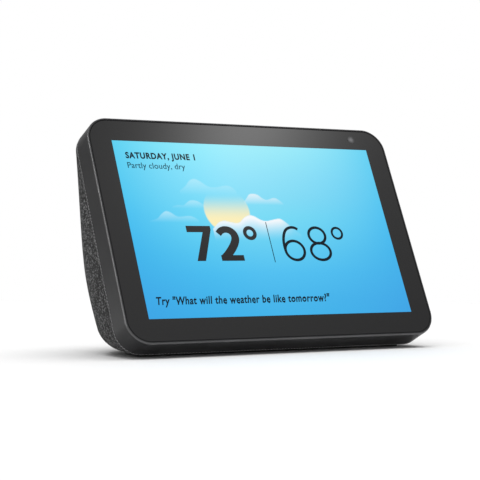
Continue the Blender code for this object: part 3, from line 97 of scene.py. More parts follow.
def mesh_piece(name, points, faces, finish, body, replaces=(), uv=None, smooth=True, sharp=35):
    """A piece from points and faces, riding on a body, with the parts that it replaces hidden."""
    mesh = bpy.data.meshes.new(name)
    mesh.from_pydata(np.asarray(points).reshape(-1, 3).tolist(), [], [list(map(int, face)) for face in faces])
    mesh.update()
    if uv is not None:
        layer = mesh.uv_layers.new(name="surface_mm")
        corners = np.empty(len(mesh.loops), dtype=np.int64)
        mesh.loops.foreach_get("vertex_index", corners)
        layer.data.foreach_set("uv", np.asarray(uv).reshape(-1, 2)[corners].ravel())
    if smooth:
        mesh.shade_smooth()
        if sharp:
            mesh.set_sharp_from_angle(angle=math.radians(sharp))
    mesh.materials.append(finish)
    piece = bpy.data.objects.new(name, mesh)
    bpy.context.scene.collection.objects.link(piece)
    if body:
        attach(piece, body)
    if replaces:
        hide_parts(*replaces)
    return piece


def grid_faces(rows, columns, close_rows=False, close_columns=False):
    """Quads of a grid whose points run row by row, wrapped round where asked."""
    index = np.arange(rows * columns).reshape(rows, columns)
    if close_columns:
        index = np.concatenate([index, index[:, :1]], axis=1)
    if close_rows:
        index = np.concatenate([index, index[:1]], axis=0)
    quads = np.stack([index[:-1, :-1], index[:-1, 1:], index[1:, 1:], index[1:, :-1]], axis=-1)
    return quads.reshape(-1, 4)


def rounded_loop(half_a, half_b, radius, steps=20):
    """Counter-clockwise outline of a round-cornered rectangle and its outward normals, as (N, 2) arrays.

    Each corner is a quarter circle: corner centre + radius * (cos, sin)."""
    turn = np.linspace(0, math.pi / 2, steps + 1)
    angles = np.concatenate([turn + k * math.pi / 2 for k in range(4)])
    signs = np.repeat([[1, 1], [-1, 1], [-1, -1], [1, -1]], steps + 1, axis=0)
    normals = np.stack([np.cos(angles), np.sin(angles)], axis=1)
    return signs * [half_a - radius, half_b - radius] + radius * normals, normals


def swept(outline, normals, profile, close_profile=False):
    """Profile points (inset, rise) carried round an outline: outline - inset * normal, and the rise."""
    profile = np.array(profile)
    flat = outline[None] - profile[:, None, :1] * normals[None]
    rise = np.broadcast_to(profile[:, None, 1:], flat.shape[:2] + (1,))
    faces = grid_faces(len(profile), len(outline), close_profile, True)
    return np.concatenate([flat, rise], axis=-1), faces


def capped(points, faces):
    """Adds flat faces over the first and last rows of a swept grid."""
    rows, columns = points.shape[:2]
    first = tuple(range(columns - 1, -1, -1))
    last = tuple(range((rows - 1) * columns, rows * columns))
    return [*(tuple(face) for face in faces), first, last]


def walled(rows):
    """Faces of a closed prism whose two ends are the rows."""
    return capped(rows, grid_faces(2, rows.shape[1], False, True))


# ---------------------------------------------------------------- materials


def new_material(name, colour, roughness, metallic=0.0):
    """A material with its nodes, its links and its shader."""
    made = bpy.data.materials.new(name)
    made.use_nodes = True
    shader = made.node_tree.nodes["Principled BSDF"]
    shader.inputs["Base Color"].default_value = (*colour, 1.0)
    shader.inputs["Roughness"].default_value = roughness
    shader.inputs["Metallic"].default_value = metallic
    return made, made.node_tree.nodes, made.node_tree.links, shader


def add(nodes, kind, **values):
    """A node with attributes set by keyword, and sockets set where a keyword names one with in_ in front."""
    made = nodes.new(kind)
    for key, value in values.items():
        if key.startswith("in_"):
            made.inputs[int(key[3:]) if key[3:].isdigit() else key[3:]].default_value = value
        else:
            setattr(made, key, value)
    return made


def math_node(nodes, links, operation, first, second=None):
    """A Math node's output, from numbers or other nodes' outputs."""
    made = add(nodes, "ShaderNodeMath", operation=operation)
    for socket, value in zip(made.inputs, (first, second)):
        if value is None:
            continue
        if isinstance(value, (int, float)):
            socket.default_value = value
        else:
            links.new(value, socket)
    return made.outputs[0]


def grain(nodes, links, scale, detail=2.0, stretch=(1, 1, 1)):
    """Noise over Object coordinates; scale is per metre."""
    where = add(nodes, "ShaderNodeTexCoord")
    fit = add(nodes, "ShaderNodeMapping")
    fit.inputs["Scale"].default_value = stretch
    noise = add(nodes, "ShaderNodeTexNoise", in_Scale=scale, in_Detail=detail)
    links.new(where.outputs["Object"], fit.inputs["Vector"])
    links.new(fit.outputs[0], noise.inputs["Vector"])
    return noise.outputs[0]


def ramp(nodes, links, value, stops):
    """A colour looked up by value between (place, colour) stops."""
    made = add(nodes, "ShaderNodeValToRGB")
    elements = made.color_ramp.elements
    while len(elements) < len(stops):
        elements.new(0.5)
    for element, (place, colour) in zip(elements, stops):
        element.position = place
        element.color = (*colour, 1.0) if len(colour) == 3 else colour
    links.new(value, made.inputs[0])
    return made.outputs[0]


def bump(nodes, links, shader, height, distance, strength=1.0):
    """Bends the shader's normals by a height; distance is the height's full depth in metres."""
    made = add(nodes, "ShaderNodeBump", in_Strength=strength, in_Distance=distance)
    links.new(height, made.inputs["Height"])
    links.new(made.outputs[0], shader.inputs["Normal"])


def moulded(name, colour, roughness=0.42, texture=0.00003, scale=2600.0, spread=0.12, gloss=0.5):
    """Moulded plastic: fine spark-eroded grain in bump and roughness, and faint mottling of the colour."""
    made, nodes, links, shader = new_material(name, colour, roughness)
    fine = grain(nodes, links, scale, 3.0)
    broad = grain(nodes, links, 60.0, 2.0)
    darker = tuple(c * (1 - spread) for c in colour)
    lighter = tuple(c * (1 + spread) for c in colour)
    links.new(ramp(nodes, links, broad, [(0.35, darker), (0.65, lighter)]), shader.inputs["Base Color"])
    rough = add(nodes, "ShaderNodeMapRange", in_3=roughness - 0.05, in_4=roughness + 0.07)
    links.new(fine, rough.inputs[0])
    links.new(rough.outputs[0], shader.inputs["Roughness"])
    bump(nodes, links, shader, fine, texture)
    shader.inputs["Specular IOR Level"].default_value = gloss
    return made


def metal(name, colour, roughness, stretch=(1, 1, 1)):
    """Machined or stamped metal: stretched noise gives brushed roughness and faint scratches."""
    made, nodes, links, shader = new_material(name, colour, roughness, 1.0)
    streaks = grain(nodes, links, 900.0, 4.0, stretch)
    rough = add(nodes, "ShaderNodeMapRange", in_3=roughness - 0.1, in_4=roughness + 0.12)
    links.new(streaks, rough.inputs[0])
    links.new(rough.outputs[0], shader.inputs["Roughness"])
    bump(nodes, links, shader, streaks, 0.00001)
    return made


# Sizes in mm, and yarn colours by share.
STITCH_WIDTH = 0.95
YARNS = [
    (0.3, (0.004, 0.004, 0.005)),
    (0.55, (0.012, 0.012, 0.0125)),
    (0.66, (0.05, 0.05, 0.051)),
    (0.8, (0.3, 0.3, 0.305)),
]
HEM_STITCH = 1.9
HEM_YARNS = [(0.0, (0.006, 0.006, 0.007)), (0.35, (0.05, 0.05, 0.051)), (0.7, (0.6, 0.6, 0.61))]


def knitted_fabric():
    """Heathered mesh knit on the piece's own UV in millimetres: diamond stitches in bump, bounded by the
    zeros of |sin(u + v)| * |sin(u - v)|, each one of dark or pale yarn, and darkened towards those zeros as
    painted shade in the grooves."""
    made, nodes, links, shader = new_material("charcoal_heather_knit", (0.04, 0.04, 0.042), 0.95)
    where = add(nodes, "ShaderNodeUVMap", uv_map="surface_mm")
    split = add(nodes, "ShaderNodeSeparateXYZ")
    links.new(where.outputs[0], split.inputs[0])
    u, v = split.outputs[0], split.outputs[1]
    wander = add(nodes, "ShaderNodeTexNoise", in_Scale=0.9, in_Detail=2.0)
    links.new(where.outputs[0], wander.inputs["Vector"])
    shift = math_node(nodes, links, "MULTIPLY", wander.outputs[0], 0.5)
    weave = None
    cell = add(nodes, "ShaderNodeCombineXYZ")
    for joined, place in (("ADD", cell.inputs[0]), ("SUBTRACT", cell.inputs[1])):
        direction = math_node(nodes, links, "ADD", math_node(nodes, links, joined, u, v), shift)
        step = math_node(nodes, links, "DIVIDE", direction, STITCH_WIDTH)
        links.new(math_node(nodes, links, "FLOOR", step), place)
        wave = math_node(nodes, links, "SINE", math_node(nodes, links, "MULTIPLY", step, math.pi))
        wave = math_node(nodes, links, "ABSOLUTE", wave)
        weave = wave if weave is None else math_node(nodes, links, "MULTIPLY", weave, wave)
    yarn = add(nodes, "ShaderNodeTexWhiteNoise", noise_dimensions="2D")
    links.new(cell.outputs[0], yarn.inputs["Vector"])
    fibre = add(nodes, "ShaderNodeTexNoise", in_Scale=3.2, in_Detail=3.0)
    links.new(where.outputs[0], fibre.inputs["Vector"])
    mixed = math_node(nodes, links, "MULTIPLY", yarn.outputs[0], 0.7)
    mixed = math_node(nodes, links, "ADD", mixed, math_node(nodes, links, "MULTIPLY", fibre.outputs[0], 0.3))
    colour = ramp(nodes, links, mixed, YARNS)
    # Colour falls to 0.35 towards the stitch boundaries, which is painted shade in the grooves.
    shade = ramp(nodes, links, weave, [(0.0, (0.35, 0.35, 0.35)), (0.55, (1, 1, 1))])
    tint = add(nodes, "ShaderNodeMix", data_type="RGBA", blend_type="MULTIPLY")
    tint.inputs[0].default_value = 1.0
    links.new(colour, tint.inputs[6])
    links.new(shade, tint.inputs[7])
    links.new(tint.outputs[2], shader.inputs["Base Color"])
    fuzz = math_node(nodes, links, "MULTIPLY", fibre.outputs[0], 0.35)
    height = math_node(nodes, links, "ADD", weave, fuzz)
    bump(nodes, links, shader, height, 0.00035, 0.9)
    shader.inputs["Sheen Weight"].default_value = 0.12
    shader.inputs["Sheen Roughness"].default_value = 0.5
    shader.inputs["Specular IOR Level"].default_value = 0.2
    return made


def stitched_hem():
    """The knit's rolled edge: pale stitches on dark yarn where sin(2 pi (u + 0.6 v) / stitch) is high."""
    made, nodes, links, shader = new_material("stitched_hem", (0.03, 0.03, 0.03), 0.9)
    where = add(nodes, "ShaderNodeUVMap", uv_map="surface_mm")
    split = add(nodes, "ShaderNodeSeparateXYZ")
    links.new(where.outputs[0], split.inputs[0])
    lean = math_node(nodes, links, "MULTIPLY", split.outputs[1], 0.6)
    slant = math_node(nodes, links, "ADD", split.outputs[0], lean)
    turn = math_node(nodes, links, "MULTIPLY", slant, 2 * math.pi / HEM_STITCH)
    wave = math_node(nodes, links, "SINE", turn)
    colour = ramp(nodes, links, wave, HEM_YARNS)
    links.new(colour, shader.inputs["Base Color"])
    bump(nodes, links, shader, wave, 0.00015)
    return made


def glossy_glass(name, colour):
    """Cover glass backed by black print, with a thin oil-repelling coat's faint smudges in its roughness."""
    made, nodes, links, shader = new_material(name, colour, 0.04)
    smudge = grain(nodes, links, 14.0, 5.0)
    rough = add(nodes, "ShaderNodeMapRange", in_1=0.45, in_2=0.8, in_3=0.03, in_4=0.09)
    links.new(smudge, rough.inputs[0])
    links.new(rough.outputs[0], shader.inputs["Roughness"])
    shader.inputs["IOR"].default_value = 1.5
    return made


def lit_picture(name, attribute=None, colour=(0, 0, 0), gloss=0.5):
    """The lit screen seen through its glass: light from the picture's colours under a glossy surface."""
    made, nodes, links, shader = new_material(name, (0.004, 0.004, 0.005), 0.04)
    shader.inputs["IOR"].default_value = 1.5
    shader.inputs["Specular IOR Level"].default_value = gloss
    shader.inputs["Emission Color"].default_value = (*colour, 1.0)
    shader.inputs["Emission Strength"].default_value = 1.0
    if attribute:
        source = add(nodes, "ShaderNodeAttribute", attribute_name=attribute)
        links.new(source.outputs["Color"], shader.inputs["Emission Color"])
    return made


CHARCOAL = moulded("charcoal_moulded_frame", (0.025, 0.025, 0.0262), 0.3, 0.000008, gloss=0.18)
# The frame's rounded front edge is given a lighter colour than the frame, which is a painted highlight; its
# lower roughness and stronger gloss are the plastic's finish.
EDGE_HIGHLIGHT = moulded("painted_highlight_edge", (0.085, 0.085, 0.087), 0.24, 0.000004)
CAPS = moulded("button_plastic", (0.045, 0.045, 0.047), 0.4, 0.00001)
BLACK = moulded("black_moulded_plastic", (0.018, 0.018, 0.019), 0.5)
RUBBER = moulded("matt_rubber", (0.02, 0.02, 0.02), 0.85, 0.00006, 1500.0)
PAPER = moulded("pressed_cone_paper", (0.03, 0.03, 0.031), 0.9, 0.00012, 1200.0, 0.3)
FOAM = moulded("foam_tape", (0.02, 0.02, 0.02), 0.95, 0.0001, 1800.0)
PRINT = moulded("pale_print", (0.5, 0.5, 0.5), 0.6)
GLASS = glossy_glass("black_backed_glass", (0.006, 0.006, 0.0065))
KNIT = knitted_fabric()
HEM = stitched_hem()
STEEL = metal("stamped_steel", (0.56, 0.56, 0.58), 0.34, (1, 12, 1))
ALUMINIUM = metal("extruded_aluminium", (0.7, 0.7, 0.72), 0.38, (1, 1, 15))
COPPER_FILM = moulded("polyimide_ribbon", (0.3, 0.14, 0.03), 0.35, 0.00001)
BOARD = moulded("green_circuit_board", (0.02, 0.11, 0.05), 0.35, 0.00004, 700.0, 0.35)
LENS = glossy_glass("coated_lens", (0.01, 0.012, 0.03))
LENS_RING = glossy_glass("lens_ring", (0.035, 0.035, 0.037))
# The lens's lighter band and its bright middle are a painted reflection and a painted glint.
LENS_REFLECTION_BAND = glossy_glass("painted_lens_reflection", (0.11, 0.11, 0.115))
LENS_GLINT = glossy_glass("painted_lens_glint", (0.17, 0.17, 0.18))
INK_GREY = lit_picture("ink_grey", colour=(0.001, 0.0015, 0.002), gloss=0.38)
INK_NAVY = lit_picture("ink_navy", colour=(0.0, 0.005, 0.011), gloss=0.15)
INK_SOFT = lit_picture("ink_soft", colour=(0.0, 0.04, 0.07), gloss=0.15)

SLOT_FINISH = {
    "charcoal_plastic": CHARCOAL,
    "cover_glass": GLASS,
    "lcd_glass": GLASS,
    "black_plastic": BLACK,
    "charcoal_fabric": BLACK,
    "foot_rubber": RUBBER,
    "foam_tape": FOAM,
    "steel": STEEL,
    "aluminium": ALUMINIUM,
    "circuit_board": BOARD,
    "ribbon": COPPER_FILM,
    "cone_paper": PAPER,
    "soft_surround": RUBBER,
    "lens_glass": LENS,
}
for part in frame["record"]["subparts"]:
    node = frame["nodes"][part["node"]]
    for holder in node.material_slots:
        holder.material = SLOT_FINISH[part["material_slot"]]


# ---------------------------------------------------------------- frame and glass


def prism(name, outline, across, depth):
    """A closed prism from an outline in (x, s), running along the slab's y between two values."""
    y0, y1 = across
    rows = np.stack([slab(outline[:, 0], y, depth + outline[:, 1]) for y in (y0, y1)])
    return mesh_piece(name, rows, walled(rows), BLACK, None, smooth=False)


def front_frame():
    """The moulded ring: one profile of (inset, depth) carried round the slab's outline, then its top wall
    is opened for the buttons, the shutter and the microphones."""
    outline, normals = rounded_loop(HALF_W, HALF_H, CORNER, 28)
    edge = 0.75 * MM
    bend = np.radians(np.linspace(90, 180, 9))
    profile = [
        (1.3 * MM, 2.45 * MM),
        (1.3 * MM, 0.14 * MM),
        (1.26 * MM, 0.03 * MM),
        (1.18 * MM, 0.0),
        (1.15 * MM, 0.0),
        (edge + 0.03 * MM, 0.0),
        *((edge + edge * math.cos(a), edge - edge * math.sin(a)) for a in bend),
        (0.0, edge + 0.04 * MM),
        (0.0, SLAB_DEPTH - 0.34 * MM),
        (0.0, SLAB_DEPTH - 0.3 * MM),
        (0.1 * MM, SLAB_DEPTH - 0.08 * MM),
        (0.32 * MM, SLAB_DEPTH),
        (2.4 * MM, SLAB_DEPTH),
        (2.4 * MM, 3.9 * MM),
        (5.5 * MM, 3.9 * MM),
        (5.5 * MM, 2.45 * MM),
    ]
    points, faces = swept(outline, normals, profile, close_profile=True)
    world = slab(points[..., 0], points[..., 1], points[..., 2])
    ring = mesh_piece(
        "front_frame_moulding",
        world,
        faces,
        CHARCOAL,
        "chassis",
        ("front_frame",),
        smooth=False,
    )
    wall = (HALF_H - 3 * MM, HALF_H + 1 * MM)
    tools = []
    for name in ("volume_up", "volume_down", "mic_camera_off"):
        x = button_middle(name + "_button")
        hole, _ = rounded_loop(5.75 * MM, 2.55 * MM, 2.3 * MM, 10)
        tools.append(prism(name + "_opening", hole + [x, 0], wall, BUTTON_DEPTH))
    x = button_middle("shutter_slider") + 2.5 * MM
    slot, _ = rounded_loop(8.9 * MM, 2.25 * MM, 1.95 * MM, 10)
    tools.append(prism("shutter_recess", slot + [x, 0], (HALF_H - 0.8 * MM, HALF_H + 1 * MM), SHUTTER_DEPTH))
    slot, _ = rounded_loop(4.2 * MM, 1.35 * MM, 0.7 * MM, 6)
    tools.append(prism("shutter_slot", slot + [x, 0], wall, SHUTTER_DEPTH))
    notch, _ = rounded_loop(12 * MM, 0.8 * MM, 0.1 * MM, 2)
    notch_y = (HALF_H - 5.7 * MM, HALF_H - 2.4 * MM)
    tools.append(prism("camera_notch", notch + [CAMERA_X - 2.4 * MM, 0], notch_y, 3.17 * MM))
    for x in MICROPHONE_X:
        hole, _ = rounded_loop(0.6 * MM, 0.6 * MM, 0.599 * MM, 5)
        tools.append(prism("microphone_hole", hole + [x, 0], wall, BUTTON_DEPTH))
    for tool in tools:
        step = ring.modifiers.new("opening", "BOOLEAN")
        step.operation, step.object, step.solver = "DIFFERENCE", tool, "EXACT"
    bake(ring, 32)
    for tool in tools:
        bpy.data.objects.remove(tool)
    ring.data.materials.clear()
    ring.data.materials.append(CHARCOAL)
    ring.data.materials.append(EDGE_HIGHLIGHT)
    # Faces on the rounded front edge take the lighter edge material, whose colour is a painted highlight.
    for face in ring.data.polygons:
        inset, depth = slab_inset(face.center)
        face.material_index = int(inset < edge and depth < edge)


def slab_inset(point):
    """How far a world point lies inside the slab's outline, and behind its front plane."""
    offset = np.array(point) - FACE
    y, depth = offset[1] * SIN_T + offset[2] * COS_T, offset[1] * COS_T - offset[2] * SIN_T
    over = np.array([abs(offset[0]) - HALF_W + CORNER, abs(y) - HALF_H + CORNER])
    return CORNER - math.hypot(*np.clip(over, 0, None)) - min(over.max(), 0), depth


def bake(piece, sharp):
    """Applies a piece's modifiers to its mesh and shades it smooth up to an angle."""
    graph = bpy.context.evaluated_depsgraph_get()
    mesh = bpy.data.meshes.new_from_object(piece.evaluated_get(graph))
    piece.modifiers.clear()
    piece.data = mesh
    mesh.shade_smooth()
    if sharp:
        mesh.set_sharp_from_angle(angle=math.radians(sharp))


def button_middle(node):
    """World x of a node's middle."""
    low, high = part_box(node)
    return (low[0] + high[0]) / 2


def cover_glass():
    """Flat glass with a small ground edge: a profile of (inset, depth) swept round, closed by flat faces."""
    outline, normals = rounded_loop(HALF_W, HALF_H, CORNER, 28)
    ground = 0.12 * MM
    profile = [
        (GLASS_INSET, GLASS_BACK),
        (GLASS_INSET, GLASS_FRONT + ground),
        (GLASS_INSET + ground * 0.3, GLASS_FRONT + ground * 0.3),
        (GLASS_INSET + ground, GLASS_FRONT),
    ]
    points, faces = swept(outline, normals, profile)
    world = slab(points[..., 0], points[..., 1], points[..., 2])
    faces = capped(points, faces)
    mesh_piece(
        "cover_glass_sheet", world, faces, GLASS, "chassis", ("cover_glass",), smooth=False
    )


# ---------------------------------------------------------------- picture on the screen


def smooth(value, start, end):
    """Smoothstep of value from 0 at start to 1 at end."""
    t = np.clip((value - start) / (end - start), 0, 1)
    return t * t * (3 - 2 * t)


def linear(colour):
    """Linear light of 0-255 display values."""
    c = np.asarray(colour, dtype=float) / 255
    return np.where(c <= 0.04045, c / 12.92, ((c + 0.055) / 1.055) ** 2.4)


def blend(base, colour, share):
    """base * (1 - share) + colour * share, point by point; the colour is a 0-255 display value."""
    return base * (1 - share[..., None]) + linear(colour) * share[..., None]


def cloud(x, y, ridge, base, power, own=0.0):
    """Share of a cloud at (x, y) mm: crisp along a smooth ridge line, thinning out down to its base as a
    power of the height over it, measured against the highest ridge or, by the share own, the ridge above."""
    line = spline(ridge)
    inside = (x > line[0, 0]) & (x < line[-1, 0])
    top = np.where(inside, np.interp(x, line[:, 0], line[:, 1]), -1e3)
    full = line[:, 1].max() * (1 - own) + np.maximum(top, base + 1) * own
    rise = np.clip((y - base) / (full - base), 0, 1) ** power
    return rise * smooth(top - y, -0.3, 0.3)


# The sky's colours as 0-255 display values at heights in mm from the picture's middle.
SKY_HEIGHTS = [-54, -44, -28, -16, -4, 8, 20, 34, 50, 54]
SKY_MIDDLE = [
    (66, 179, 234),
    (70, 181, 235),
    (79, 191, 240),
    (93, 201, 241),
    (108, 211, 243),
    (122, 219, 245),
    (136, 222, 247),
    (148, 228, 250),
    (160, 237, 251),
    (162, 238, 251),
]
SKY_SIDE = [
    (64, 164, 229),
    (65, 168, 231),
    (66, 175, 233),
    (67, 180, 235),
    (73, 186, 238),
    (80, 192, 240),
    (89, 199, 241),
    (98, 204, 242),
    (103, 209, 243),
    (104, 210, 243),
]


def sky_colours(x, y):
    """The picture at (x, y) mm from its middle, in linear light.

    Sky: colours up the height, blended from the sides to the middle by (1 - (x / 88)^2)^1.15. The sun is a
    disc that fades upwards, and the clouds lie over it."""
    middle, side = (
        np.stack([np.interp(y, SKY_HEIGHTS, linear(stops)[:, k]) for k in range(3)], axis=-1)
        for stops in (SKY_MIDDLE, SKY_SIDE)
    )
    share = np.clip(1 - (x / 88) ** 2, 0, 1) ** 1.15
    colour = side * (1 - share[..., None]) + middle * share[..., None]
    colour[..., 0] *= 1 - 0.17 * smooth(-x, 0, 50)
    far = [
        ([(-50, 23.2), (-46, 26), (-42.5, 29.6), (-39.2, 30.7), (-36, 29.4), (-32.5, 26.8), (-29.5, 25.7),
          (-25, 25.9), (-21, 26.8), (-18, 26.8), (-15.5, 25.6), (-13.5, 23.2)], 20.5, 0.46),
        ([(-57, 13.2), (-53.5, 14.0), (-50, 13.9), (-48, 15.2), (-45.5, 16.8), (-43, 17.1), (-40.5, 16.7),
          (-38, 15.2), (-36, 13.2)], 12.0, 0.5),
        ([(-73, 4.0), (-68, 5.6), (-65, 8.2), (-62.5, 9.9), (-60.8, 10.1), (-58.5, 9.1), (-55.5, 7.1),
          (-52, 7.0), (-48, 7.4), (-45, 6.7), (-42.5, 5)], 3.2, 0.58),
    ]
    for ridge, base, strength in far:
        colour = blend(colour, (205, 241, 251), strength * cloud(x, y, ridge, base, 1.1))
    front = [(-34.6, -0.6), (-32.5, 1.2), (-29.5, 3.6), (-26, 4.5), (-22.5, 3.8), (-19, 3.2), (-16, 3.7),
             (-12.5, 6.6), (-9, 8.1), (-6, 7.7), (-2, 5.4), (1.5, 4.6), (5.5, 5.3), (10, 6.1), (12.5, 5.5),
             (16, 2.6), (19, -0.5), (23, -4)]
    distance = np.hypot(x + 22.7, y - 11)
    disc = (1 - smooth(distance, 14.3, 15.0)) * (1 - smooth(y, 4.5, 22.5))
    disc *= 1 - cloud(x, y, front, -30.0, 0)
    colour = blend(colour, (250, 237, 184), disc)
    near = [(-10, 16.8), (-7.5, 19.5), (-5.5, 21.5), (-3, 22), (0, 21.4), (2.5, 19.4), (5, 18.3),
            (7.5, 18.7), (10, 19.5), (12.5, 19), (16, 16.2)]
    colour = blend(colour, (232, 244, 250), 0.9 * cloud(x, y, near, 15.0, 1.0))
    thick = 1.15 * cloud(x, y, front, -8.5, 1.9, 0.7) * (1 - 0.85 * smooth(x, 10, 20))
    return blend(colour, (250, 250, 252), np.clip(thick, 0, 0.97))


def screen_picture(veil):
    """A grid of the lit picture just in front of the glass, its colours worked out point by point; the
    veil is the light that the glass reflects there, taken off so that the two add up."""
    columns, rows = 330, 206
    x, y = np.meshgrid(
        np.linspace(-ACTIVE_W / 2, ACTIVE_W / 2, columns), np.linspace(ACTIVE_H / 2, -ACTIVE_H / 2, rows)
    )
    colours = np.clip(sky_colours(x / MM, y / MM) - veil(x / MM, y / MM)[..., None], 0, 1)
    points = slab(x, y, 0.1 * MM)
    faces = grid_faces(rows, columns)[:, ::-1]
    finish = lit_picture("weather_picture", "picture")
    piece = mesh_piece("screen_picture", points, faces, finish, "chassis", smooth=False)
    layer = piece.data.color_attributes.new("picture", "FLOAT_COLOR", "POINT")
    opaque = np.ones(colours.shape[:2] + (1,))
    layer.data.foreach_set("color", np.concatenate([colours, opaque], axis=-1).ravel())
    return piece


def veil_light(x, y):
    """Light reflected in the glass at (x, y) mm: an even part and a soft glow at the top middle."""
    even = 0.026 + 0.018 * smooth(y, -30, 55)
    return even + 0.125 * np.exp(-((x - 4) / 44) ** 2) * np.exp(-(np.clip(62 - y, 0, None) / 42) ** 2)


def spline(points, steps=10):
    """Catmull-Rom curve through points, as an (N, 2) array."""
    p = np.array([points[0], *points, points[-1]], dtype=float)
    t = np.linspace(0, 1, steps, endpoint=False)[:, None]
    parts = []
    for a, b, c, d in zip(p, p[1:], p[2:], p[3:]):
        square, cube = 2 * a - 5 * b + 4 * c - d, 3 * b - a - 3 * c + d
        parts.append(0.5 * (2 * b + (c - a) * t + square * t**2 + cube * t**3))
    return np.concatenate([*parts, p[-1:]])


def stroke(path, width, closed=False):
    """A flat ribbon of a width (or one width for each point) along a path: points either side of it."""
    path = np.asarray(path, dtype=float)
    if closed:
        ahead, behind = np.roll(path, -1, axis=0), np.roll(path, 1, axis=0)
    else:
        ahead, behind = np.vstack([path[1:], path[-1:]]), np.vstack([path[:1], path[:-1]])
    tangent = ahead - behind
    tangent /= np.linalg.norm(tangent, axis=1)[:, None]
    side = np.stack([-tangent[:, 1], tangent[:, 0]], axis=1) * np.reshape(width, (-1, 1)) / 2
    both = np.stack([path + side, path - side])
    return both.reshape(-1, 2), grid_faces(2, len(path), False, closed)


def ring_path(centre, radius_x, radius_y, steps=56):
    """Points round an ellipse."""
    angle = np.linspace(0, 2 * math.pi, steps, endpoint=False)
    return np.stack([centre[0] + radius_x * np.cos(angle), centre[1] + radius_y * np.sin(angle)], axis=1)


def flat_marks(name, shapes, finish, depth):
    """Flat shapes in mm on the slab's face at a depth, as one piece."""
    points, faces, depths, start = [], [], [], 0
    for number, (flat, quads) in enumerate(shapes):
        points.append(flat)
        depths += [depth - number * 0.005 * MM] * len(flat)
        faces += [tuple(int(i) + start for i in quad) for quad in quads]
        start += len(flat)
    flat = np.concatenate(points) * MM
    world = slab(flat[:, 0], flat[:, 1], np.array(depths))
    piece = mesh_piece(name, world, faces, finish, "chassis", smooth=False)
    face_front(piece)
    return piece


def face_front(piece):
    """Turns every face of a flat piece towards the viewer of the screen."""
    mesh = piece.data
    normals = np.empty(len(mesh.polygons) * 3)
    mesh.polygons.foreach_get("normal", normals)
    away = normals.reshape(-1, 3) @ np.array([0, -COS_T, SIN_T]) < 0
    if away.any():
        for polygon in np.array(mesh.polygons)[away]:
            polygon.flip()
    mesh.update()


def polygon(*corners):
    """A flat shape of one face."""
    return np.array(corners, dtype=float), [tuple(range(len(corners)))]


LIGHT_STROKE = 1.72


def temperatures():
    """The bold and the light temperature with their degree rings and the hairline between them."""
    bold = [
        polygon((-51.6, 1.25), (-36.2, 1.25), (-36.2, -1.2), (-43.6, -20.2), (-48.9, -20.2), (-41.7, -2.65),
                (-51.6, -2.65)),
        stroke(
            spline([(-31.9, -3.6), (-30.0, -1.8), (-27.2, -0.85), (-24.1, -1.5), (-22.1, -3.5), (-21.6, -6.2),
                    (-22.6, -9.0), (-24.8, -12.2), (-28.2, -15.9), (-31.3, -18.6)]),
            np.interp(np.linspace(0, 1, 91), [0, 0.25, 0.55, 1], [3.9, 4.1, 5.0, 4.7]),
        ),
        polygon((-33.3, -16.7), (-18.7, -16.7), (-18.7, -20.2), (-33.3, -20.2)),
        stroke(ring_path((-11.3, -3.05), 3.25, 3.25), 2.3, closed=True),
    ]
    light = [
        stroke(
            spline([(21.3, -0.5), (19.0, 0.55), (16.2, 0.55), (13.3, -0.8), (11.3, -3.6), (10.0, -7.5),
                    (9.6, -11.5), (9.75, -14.2)]),
            LIGHT_STROKE,
        ),
        stroke(ring_path((16.1, -13.9), 6.35, 6.0), LIGHT_STROKE, closed=True),
        stroke(ring_path((33.6, -4.4), 5.6, 5.05), LIGHT_STROKE, closed=True),
        stroke(ring_path((33.6, -14.6), 6.6, 5.35), LIGHT_STROKE, closed=True),
        stroke(ring_path((48.0, -2.9), 3.5, 3.5), 1.45, closed=True),
        polygon((0.66, 3.9), (1.14, 3.9), (1.14, -21.3), (0.66, -21.3)),
    ]
    flat_marks("temperature_now", bold, INK_GREY, 0.05 * MM)
    flat_marks("temperature_later", light, INK_NAVY, 0.05 * MM)


SERIF = 0.055
FONT_CAPITAL = 0.69


def serifs(mesh):
    """Adds a small flat foot wherever a letter's stem ends in a short level edge."""
    form = bmesh.new()
    form.from_mesh(mesh)
    for edge in [edge for edge in form.edges if edge.is_boundary]:
        a, b = (vertex.co for vertex in edge.verts)
        if abs(a.y - b.y) > 0.012 or not 0.045 < abs(a.x - b.x) < 0.14:
            continue
        inward = 1 if edge.link_faces[0].calc_center_median().y > a.y else -1
        left, right, level = min(a.x, b.x) - SERIF, max(a.x, b.x) + SERIF, a.y
        inner = level + SERIF * inward
        corners = [(left, level), (right, level), (right, inner), (left, inner)]
        form.faces.new([form.verts.new((x, y, 0.0)) for x, y in corners])
    form.to_mesh(mesh)
    form.free()


def words(name, body, left, right, baseline, cap_height, weight, finish, slant=None):
    """A line of generic wording as flat letters, fitted between two x values and to its capitals' height in
    mm. Weight is how far the outlines swell, as a share of the font's size; a slant adds serifs and leans x
    over by slant * y."""
    curve = bpy.data.curves.new(name + "_letters", "FONT")
    curve.body = body
    curve.fill_mode = "FRONT"
    curve.resolution_u = 4
    curve.offset = weight
    curve.space_character = 1.0 + 3.5 * weight
    holder = bpy.data.objects.new(name + "_letters", curve)
    bpy.context.scene.collection.objects.link(holder)
    graph = bpy.context.evaluated_depsgraph_get()
    mesh = bpy.data.meshes.new_from_object(holder.evaluated_get(graph))
    bpy.data.objects.remove(holder)
    if slant:
        serifs(mesh)
    flat = np.empty(len(mesh.vertices) * 3)
    mesh.vertices.foreach_get("co", flat)
    flat = flat.reshape(-1, 3)[:, :2]
    lean = flat[:, 0] + (slant or 0) * flat[:, 1]
    x = left + (lean - lean.min()) * (right - left) / (lean.max() - lean.min())
    y = baseline + flat[:, 1] * cap_height / FONT_CAPITAL
    mesh.vertices.foreach_set("co", slab(x * MM, y * MM, 0.05 * MM).ravel())
    mesh.materials.clear()
    mesh.materials.append(finish)
    piece = bpy.data.objects.new(name, mesh)
    bpy.context.scene.collection.objects.link(piece)
    face_front(piece)
    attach(piece, "chassis")
    return piece


